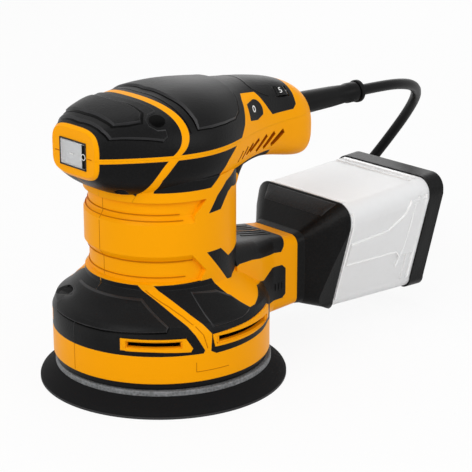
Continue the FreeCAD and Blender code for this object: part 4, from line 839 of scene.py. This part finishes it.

# %% [markdown]
# ## Grooves between the mouldings
#
# A narrow groove runs round each panel and across the saddle behind the dome. Grooves cut into a curved mesh
# break its smooth shading. One this narrow reads as a dark line of shade, so each is a very thin black strip
# of painted shade that lies on the shell, in short lengths that bend with it.

# %% Grooves round the panels and across the saddle
GROOVE_W = 1.8
SADDLE = [(-47.8, 0.0), (-47.8, 6.4), (-46.8, 25.4), (-47.9, 31.4), (-50.7, 35.5), (-53.9, 39.0),
          (-57.6, 41.6)]
FRONT_GROOVE = [(13.4, 0.0), (12.6, 20.0), (11.6, 40.0), (10.6, 55.0), (10.2, 68.0)]
grooves = strips(mirrored(REAR_PANEL[::-1][:-1]), GROOVE_W) + strips(mirrored(SADDLE), GROOVE_W / 2)
grooves += strips(mirrored(REAR_PANEL[:7]), GROOVE_W) + strips(mirrored(FRONT_GROOVE), 0.8)
grooves += strips(mirrored(TERRACE[:7]), GROOVE_W)
panel("head_grooves", grooves, round_head, head_shell, "grip_rubber", height=0.06, rim=0.0,
      paint=pocket_black)
panel("pad_groove", strips(mirrored(PAD), 1.4), round_head, head_shell, "grip_rubber", height=0.98, rim=0.0,
      paint=pocket_black)

# %% [markdown]
# ## Corner pockets
#
# A round pocket takes the back corner of the terrace on each side. Seen from outside it is simply black with
# shade, so it could be a hole, but a thin black oval of painted shade on the rubber looks the same and
# leaves the shell whole.

# %% Corner pockets
POCKET_AT = (22.9, 51.5)      # place along the head in mm, degrees from the top
POCKET_SIZE = (3.8, 6.2)


def oval(centre, size, points=24):
    turn = [2 * math.pi * k / points for k in range(points)]
    return [(centre[0] + size[0] * math.cos(a), centre[1] + size[1] * math.sin(a)) for a in turn]


pockets = [oval((POCKET_AT[0], side * POCKET_AT[1]), POCKET_SIZE) for side in (1, -1)]
panel("corner_pockets", pockets, round_head, head_shell, "grip_rubber", height=0.12, rim=0.1,
      cell=(1.5, 2.5), paint=pocket_black)

# %% [markdown]
# ## Duct ridges
#
# The duct's rubber top has lengthwise ridges that stop a thumb from slipping. They spread a little towards
# the column. An array modifier would keep them parallel, so each is a ribbon of its own, and all are pressed
# on together.

# %% Duct ridges
duct_shell = tree_of(["housing_left", "housing_right", "housing_left_grip", "housing_right_grip"])
RIDGE_Y = [-9.0, -5.4, -1.8, 1.8, 5.4, 9.0]
ridges = [ribbon([(-66.0, y), (-44.5, y * 1.15)], 1.3) for y in RIDGE_Y]
panel("duct_ridges", ridges, under_tail, duct_shell, "grip_rubber", height=0.45, cell=(3.0, 2.0), rim=0.2)

# %% [markdown]
# ## Ribs of the clear container
#
# A thin clear wall bends easily, so the real container has long ribs and a shallow bulge pressed out of each
# side. They catch more light than the flat wall. They are raised strips, the ribs with a brighter finish as
# a painted highlight, drawn once and cast from both sides.

# %% Ribs pressed out of the clear container
box_shell = tree_of(["dust_container"])
LONG_RIB = [(-103.0, 51.8), (-131.0, 53.8), (-141.8, 60.6), (-145.6, 68.4)]
LOW_RIB = [(-103.0, 39.6), (-142.4, 38.4), (-145.8, 34.6)]
UPRIGHT_RIB = [(-148.6, 66.0), (-148.2, 52.0), (-147.5, 40.0), (-144.5, 29.0)]
BULGE = LONG_RIB + [(-159.2, 68.4), (-159.2, 34.6)] + LOW_RIB[::-1]
panel("container_bulges", [BULGE, BULGE], [from_left, from_right], box_shell, "clear_plastic", height=0.8,
      sunk=0.1, cell=(4.0, 3.0), rim=0.9, body="container")
rib_lines = strips(LONG_RIB, 1.1) + strips(LOW_RIB, 1.1) + strips(UPRIGHT_RIB, 1.0)
aims = [from_left] * len(rib_lines) + [from_right] * len(rib_lines)
panel("container_ribs", rib_lines + rib_lines, aims, box_shell, "clear_plastic", height=1.0, sunk=0.1,
      cell=(4.0, 3.0), rim=0.0, body="container", paint=box_edge)

# %% [markdown]
# ## The container's lips and the funnel's facet
#
# The clear box has a thicker lip where each black part grips it, and the black funnel in front of it has one
# flat facet along its top edge. A bevel on the solid model would change its size, so both are pressed on.
# The lips take the brighter rib finish and the facet a paler black, both as painted highlight.

# %% Lips round the clear container and the funnel's facet
LIPS = [(-101.6, 2.0), (-152.0, 1.4), (-157.0, 2.6)]
side_lips = [ribbon([(x, 19.0), (x, 70.0)], wide) for x, wide in LIPS]
top_lips = [ribbon([(x, -28.0), (x, 28.0)], wide) for x, wide in LIPS]
lip_aims = [way for way in (from_left, from_right, from_over) for _ in LIPS]
# The lips take the brighter white as a painted highlight.
panel("container_lips", side_lips + side_lips + top_lips, lip_aims, box_shell, "clear_plastic",
      height=0.9, sunk=0.1, cell=(4.0, 4.0), rim=0.5, body="container", paint=box_edge)
FACET = [(-97.8, -26.0), (-97.8, 26.0), (-90.5, 22.0), (-90.5, -22.0)]
# The facet's paler black is a painted highlight.
panel("funnel_facet", [FACET], from_over, tree_of(["dust_adapter"]), "black_plastic", height=1.0, rim=1.2,
      body="dust_box", paint=facet_black)

# %% [markdown]
# ## Parting lines
#
# The two half shells meet in a thin dark line at the front, from the head down to the pad. A real gap of a
# tenth of a millimetre would be lost between two faces, so the line is a very thin strip: black on the
# rubber, and on the column a deeper orange of painted shade.

# %% Front parting line
SEAM_W = 0.55                 # degrees round the motor's axis
body_shell = tree_of(["housing_left", "housing_right", "housing_left_grip", "housing_right_grip"])
panel("front_parting_line", [ribbon([(0.0, 28.6), (0.0, 57.0)], SEAM_W + 0.1)], round_column, body_shell,
      "grip_rubber", height=0.05, cell=(9.0, 2.0), rim=0.0)
seams = [ribbon([(0.0, 15.2), (0.0, 28.4)], SEAM_W * 0.6), ribbon([(0.0, 60.0), (0.0, 99.0)], SEAM_W)]
panel("column_parting_line", seams, round_column, body_shell, "orange_plastic", height=0.04,
      cell=(9.0, 1.5), rim=0.0, paint=groove_shade)

# %% [markdown]
# ## Turned lines
#
# Fine lines run round the orange column where its diameter changes. They could be cut in by spinning a sharp
# profile, but they stop short of the back. They are arcs at one height, so each is a ribbon between two
# angles about the motor's axis, painted a deeper orange as shade.

# %% Turned lines round the column
RING_LINES = [(61.8, -50.0, 70.0), (69.9, -58.0, 76.0), (90.3, -58.0, 68.0), (93.2, -50.0, 66.0)]
rings = [ribbon([(a, z), (b, z)], 0.35) for z, a, b in RING_LINES]
panel("column_lines", rings, round_column, body_shell, "orange_plastic", height=0.04, cell=(4.0, 9.0),
      rim=0.0, paint=groove_shade)

# %% [markdown]
# ## The skirt's shoulders
#
# The skirt's rubber has a raised shoulder at the front and one on each side, with a dark foot line under the
# front one, a strip of painted shade. Orange bands run down between them, with a groove along each, painted
# a deeper orange as shade. Outlines are drawn in degrees round the motor's axis and in height, so that one
# can be moved round the skirt by a single number.

# %% Raised shoulders, foot line and band grooves
SHOULDER = [(-24.0, 41.5), (-24.0, 53.0), (38.0, 53.0), (54.5, 43.0), (53.5, 40.6), (20.0, 39.6),
            (-20.0, 39.6)]
SIDE_SHOULDER = [(72.0, 54.8), (92.0, 53.6), (101.0, 50.0), (108.0, 43.4), (98.0, 41.2), (78.0, 40.6)]


def other_side(outlines):
    """The same outlines on the other side of the middle line."""
    return [[(-turn, z) for turn, z in outline] for outline in outlines]


# The shoulders' rims take the paler rubber as a painted highlight.
panel("skirt_shoulders", [SHOULDER, SIDE_SHOULDER] + other_side([SIDE_SHOULDER]), round_column, body_shell,
      "grip_rubber", height=0.9, cell=(4.0, 1.5), rim=0.8, edge=rubber_edge)
FOOT = [(-24.0, 41.5), (-20.0, 39.6), (20.0, 39.6), (53.5, 40.6), (54.5, 43.0)]
# The foot line is a near-black strip of painted shade.
panel("shoulder_foot", strips(FOOT, 1.4), round_column, body_shell, "grip_rubber", height=0.06,
      cell=(4.0, 3.0), rim=0.0, paint=pocket_black)
BAND_GROOVE = [(39.5, 56.0), (55.5, 50.0), (62.8, 46.2), (68.8, 42.0), (72.3, 38.0), (74.5, 31.0)]
band_lines = strips(BAND_GROOVE, 0.45)
panel("band_groove", band_lines + other_side(band_lines), round_column, body_shell, "orange_plastic",
      height=0.04, cell=(3.0, 1.5), rim=0.0, paint=groove_shade)

# %% [markdown]
# ## Slot frames
#
# Each air slot of the skirt has a raised frame, which stops a rag from being drawn flat against it. A ring
# pressed on whole would cast its inner corners through the slot. So a frame is laid as short strips, each
# between the frame's outer line and the slot's edge.

# %% Frames round the air slots
FRONT_FRAME = [(29.7, 37.3), (46.0, 37.3), (63.0, 37.3), (66.4, 31.9), (65.4, 30.3), (46.6, 31.2),
               (32.4, 31.1)]
FRONT_SLOT = [(32.5, 36.4), (46.0, 36.4), (61.0, 36.4), (61.2, 34.0), (61.0, 32.6), (46.6, 32.6),
              (32.5, 32.6)]
SIDE_FRAME = [(77.3, 37.4), (90.6, 38.3), (102.0, 38.7), (113.9, 39.5), (124.5, 39.9), (126.8, 38.7),
              (124.8, 33.3), (115.7, 32.1), (104.9, 31.4), (90.5, 31.2), (78.6, 31.2)]
SIDE_SLOT = [(79.4, 36.4), (90.6, 36.4), (102.0, 36.4), (113.9, 36.4), (121.4, 36.4), (121.9, 35.6),
             (121.9, 33.0), (115.7, 32.5), (104.9, 32.5), (90.5, 32.5), (79.4, 32.5)]


def frame_strips(outer, inner):
    """Four-cornered strips between a frame's outer line and the edge of its slot."""
    return [[outer[k], outer[k - 1], inner[k - 1], inner[k]] for k in range(len(outer))]


side_frame = frame_strips(SIDE_FRAME, SIDE_SLOT)
frames = frame_strips(FRONT_FRAME, FRONT_SLOT) + side_frame + other_side(side_frame)
panel("slot_frames", frames, round_column, body_shell, "orange_plastic", height=0.5, sunk=0.4,
      cell=(3.0, 3.0), rim=0.0)

# %% [markdown]
# ## Small ribs and the blank label place
#
# Three short upright ribs stand on the duct's side near the dust box. On the skirt's orange band, two thin
# lines frame the place for a label, which stays blank; they are painted a deeper orange as shade. Both are
# ribbons like the ones before.

# %% Ribs on the duct's side and the blank label place
SIDE_RIB_X = [-61.6, -64.0, -66.4]
side_ribs = [ribbon([(x, 32.6), (x, 36.4)], 0.9) for x in SIDE_RIB_X]
panel("duct_side_ribs", side_ribs, from_left, body_shell, "grip_rubber", height=0.4, rim=0.15)
LABEL_PLACE = [(68.4, 24.4), (68.4, 19.6), (87.0, 19.6)]
panel("label_place_line", [ribbon(LABEL_PLACE[:2], 0.35), ribbon(LABEL_PLACE[1:], 0.35)], round_column,
      body_shell, "orange_plastic", height=0.04, cell=(3.0, 3.0), rim=0.0, paint=groove_shade)

# %% [markdown]
# ## Switch face
#
# The rocker sits behind a clear rubber cover in a square window. A dark gap shows all round it, drawn as a
# black ring of painted shade, and the usual bar and ring stand for on and off. They could be text, but a
# ring from an inset circle and a bar from a cube are cleaner. They lie on the cover, so that the clear
# rubber doesn't blur them.

# %% Dark gap round the window
cover_low, cover_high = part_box("switch_boot")
cover_x = cover_high[0]
cover_middle = (cover_low[2] + cover_high[2]) / 2
GAP_W = 0.7 * MM
GAP_DEEP = 0.4 * MM


def window_ring():
    bm = bmesh.new()
    x = cover_x + 0.1 * MM
    corners = [(cover_low[1], cover_low[2]), (cover_high[1], cover_low[2]), (cover_high[1], cover_high[2]),
               (cover_low[1], cover_high[2])]
    face = bm.faces.new([bm.verts.new((x, y, z)) for y, z in corners])
    bm.normal_update()
    bmesh.ops.inset_region(bm, faces=[face], thickness=GAP_W, use_boundary=True)
    bmesh.ops.delete(bm, geom=[face], context="FACES")
    bmesh.ops.solidify(bm, geom=bm.faces[:], thickness=GAP_DEEP)
    return bm


# A black ring of painted shade stands for the gap.
finish_piece(window_ring(), "window_gap", "housing", "black_plastic")

# %% Rocker's far edge and the marks for on and off
OFF_END_Y = 8.4
MARK_LIFT = 0.3 * MM          # the marks lie this far out on the cover
RING_Y = 8.7
RING_R = 1.6 * MM
RING_LINE = 0.36 * MM
MARK_THICK = 0.15 * MM


def add_bar(bm, x, y, wide, tall, thick=0.2):
    """A flat bar on the switch: its middle and its size across and up, in mm."""
    size = Matrix.Diagonal((thick * MM, wide * MM, tall * MM, 1.0))
    bmesh.ops.create_cube(bm, size=1.0, matrix=Matrix.Translation((x, y * MM, cover_middle)) @ size)


def rocker_gap():
    """Painted shade: a dark line where the rocker's far edge dips when it is off."""
    bm = bmesh.new()
    add_bar(bm, cover_x, OFF_END_Y, 2.0, 11.4)
    return bm


def switch_marks():
    """A ring for off at one end and a bar for on."""
    bm = bmesh.new()
    x = cover_x + MARK_LIFT
    turn = Matrix.Rotation(math.radians(90), 4, "Y")
    place = Matrix.Translation((x, RING_Y * MM, cover_middle)) @ turn
    ring = bmesh.ops.create_circle(bm, segments=32, radius=RING_R, cap_ends=True, matrix=place)
    face = ring["verts"][0].link_faces[0]
    bm.normal_update()
    bmesh.ops.inset_region(bm, faces=[face], thickness=RING_LINE, use_boundary=True)
    bmesh.ops.delete(bm, geom=[face], context="FACES")
    bmesh.ops.solidify(bm, geom=bm.faces[:], thickness=MARK_THICK)
    add_bar(bm, x, -0.6, 2.8, 0.55)
    return bm


# The rocker's edge line is painted shade.
finish_piece(rocker_gap(), "rocker_gap", "housing", "black_plastic", pocket_black)
finish_piece(switch_marks(), "switch_marks", "housing", "switch_grey", white_ink)

# %% [markdown]
# ## The bezel's parting line and the badge's mark
#
# The orange frame round the switch is moulded in two halves, so a short line shows on each side of the
# window, painted a deeper orange as shade. The small black badge beside the dial carries a plain ring.

# %% Bezel's parting line and the badge's plain mark
shell_front = tree_of(["housing_left", "housing_right", "top_cover"])
BEZEL_Z = 122.9
BEZEL_LINES = [[(10.9, BEZEL_Z), (14.2, BEZEL_Z)], [(-14.2, BEZEL_Z), (-10.9, BEZEL_Z)]]
bezel_lines = [piece for line in BEZEL_LINES for piece in strips(line, 0.45)]
# The bezel's lines take the vents' deeper orange as painted shade.
panel("bezel_parting_line", bezel_lines, from_front, shell_front, "orange_plastic", height=0.05, rim=0.0,
      paint=vent_shadow)
badge_shell = tree_of(["side_badge"])
ring = oval((-42.6, 133.6), (1.0, 1.35), 12)
panel("badge_mark", strips(ring + ring[:1], 0.6), from_left, badge_shell, "switch_grey", height=0.08,
      rim=0.0, paint=white_ink)

# %% [markdown]
# ## Speed dial numerals
#
# The dial's edge carries plain numbers from 1 to 6, printed 48 degrees apart on the part that can come up
# through the slot. An image of them would blur close up, so each is text made into a mesh, then set on the
# rim facing out. The mesh rides on the dial, so the numbers turn with it.

# %% Numerals
DIAL = joints["dial_turn"]
DIGITS = "654321"
DIGIT_STEP = math.radians(48.0)
DIGIT_SIZE = 4.59 * MM
DIGIT_THICK = 0.12 * MM
DIGIT_LIFT = 0.02 * MM
dial_centre = Vector(DIAL["pos_m"])
dial_axis = Vector(DIAL["axis"]).normalized()
dial_r = max((v.co - dial_centre).cross(dial_axis).length for v in nodes["speed_dial"].data.vertices)
dial_out = Vector((0.0, dial_axis.z, -dial_axis.y))


def digit_mesh(text):
    words = bpy.data.curves.new("digit", "FONT")
    words.body = text
    words.size = DIGIT_SIZE
    words.align_x = "CENTER"
    words.align_y = "CENTER"
    words.extrude = DIGIT_THICK
    holder = bpy.data.objects.new("digit", words)
    bpy.context.scene.collection.objects.link(holder)
    bpy.context.view_layer.update()
    mesh = bpy.data.meshes.new_from_object(holder)
    bpy.data.objects.remove(holder)
    bpy.data.curves.remove(words)
    return mesh


def place_digits():
    bm = bmesh.new()
    for k, digit in enumerate(DIGITS):
        turn = Matrix.Rotation(DIGIT_STEP * (k - 1), 3, dial_axis)
        out = turn @ dial_out
        place = Matrix((dial_axis.cross(out), dial_axis, out)).transposed().to_4x4()
        place.translation = dial_centre + out * (dial_r + DIGIT_LIFT)
        mesh = digit_mesh(digit)
        mesh.transform(place)
        bm.from_mesh(mesh)
        bpy.data.meshes.remove(mesh)
    return bm


finish_piece(place_digits(), "dial_numbers", "dial", "switch_grey", white_ink)

# %% [markdown]
# ## Strain relief
#
# The cord must not kink where it leaves the tool, so a tapered rubber sleeve holds it. It thins towards its
# end, so that it bends evenly, and ends in a collar. A stack of cones would leave a seam at each step. One
# profile spun about the cord's line has none.

# %% Tapered sleeve
relief_low, relief_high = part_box("strain_relief")
relief_axis_z = (relief_low[2] + relief_high[2]) / 2
FLANGE_R = 8.0 * MM
FLANGE_L = 2.0 * MM
SLEEVE_R = (6.0 * MM, 4.9 * MM)
NECK_L = 9.5 * MM             # thicker end just before the collar
NECK_R = SLEEVE_R[1] + 0.5 * MM
COLLAR_R = 6.1 * MM


def relief_profile():
    """(place along X, radius) from inside the housing to the collar's mouth"""
    start, end = relief_high[0], relief_low[0]
    neck = end + NECK_L
    return [(start, CORD_R), (start, FLANGE_R), (start - FLANGE_L, FLANGE_R),
            (start - FLANGE_L, SLEEVE_R[0]), (-100.0 * MM, SLEEVE_R[0]), (-118.0 * MM, 5.5 * MM),
            (neck + 1.5 * MM, SLEEVE_R[1]), (neck, NECK_R), (end + 3.4 * MM, NECK_R),
            (end + 3.2 * MM, 4.6 * MM), (end + 2.7 * MM, 4.6 * MM), (end + 2.5 * MM, 5.7 * MM),
            (end + 2.1 * MM, COLLAR_R), (end + 0.5 * MM, COLLAR_R), (end, 5.6 * MM), (end, CORD_R)]


def spin_about_x(line, steps=40):
    bm = bmesh.new()
    verts = [bm.verts.new((x, 0.0, relief_axis_z + r)) for x, r in line]
    edges = [bm.edges.new(pair) for pair in zip(verts, verts[1:])]
    bmesh.ops.spin(bm, geom=verts + edges, cent=(0, 0, relief_axis_z), axis=(1, 0, 0), dvec=(0, 0, 0),
                   angle=2 * math.pi, steps=steps, use_merge=True)
    bmesh.ops.remove_doubles(bm, verts=bm.verts, dist=1e-6)
    return bm


sleeve = finish_piece(spin_about_x(relief_profile()), "relief_sleeve", "housing", "cord_rubber")
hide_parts("strain_relief")

# %% [markdown]
# ## Brush springs
#
# A coil spring behind each carbon brush presses it onto the commutator. The solid model holds a plain tube
# of the spring's outer size. A screw modifier could wind the wire, but here a small circle is spun about the
# spring's line and moved along it at every step, and its open ends are filled.

# %% Brush springs
spring_low, spring_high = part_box("brush_springs")
_, brush_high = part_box("carbon_brushes")
SPRING_TURNS = 7
STEPS_PER_TURN = 16
WIRE_R = 0.3 * MM
WIRE_SIDES = 8


def wind_spring(bm, side):
    """Spring on one side of the commutator, from the brush's back to the holder's end."""
    middle = (spring_low[2] + spring_high[2]) / 2
    radius = (spring_high[2] - spring_low[2]) / 2 - WIRE_R
    start = brush_high[1] + WIRE_R
    reach = spring_high[1] - brush_high[1] - 2 * WIRE_R
    ring = bmesh.ops.create_circle(bm, segments=WIRE_SIDES, radius=WIRE_R)["verts"]
    bmesh.ops.rotate(bm, verts=ring, cent=(0, 0, 0), matrix=Matrix.Rotation(math.radians(90), 3, "Y"))
    bmesh.ops.translate(bm, verts=ring, vec=(0, side * start, middle + radius))
    edges = list({e for v in ring for e in v.link_edges})
    steps = SPRING_TURNS * STEPS_PER_TURN
    bmesh.ops.spin(bm, geom=ring + edges, cent=(0, side * start, middle), axis=(0, 1, 0),
                   dvec=(0, side * reach / steps, 0), angle=2 * math.pi * SPRING_TURNS, steps=steps)
    bmesh.ops.holes_fill(bm, edges=[e for e in bm.edges if e.is_boundary], sides=WIRE_SIDES)


coils = bmesh.new()
for side in (1, -1):
    wind_spring(coils, side)
springs = finish_piece(coils, "spring_coils", "housing", "steel")
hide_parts("brush_springs")

# %% [markdown]
# ## The cord's finish
#
# The cord takes its rubber finish last, when the plug and the tie that go with it are there. It rides on the
# housing, and the solid model's own cord and coil are hidden.

cord.data.materials.append(finishes["cord_rubber"])
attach(cord, "housing")
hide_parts("cord", "cord_coil")

# %% [markdown]
# ## The end

# %% Finish
print("pieces ready")
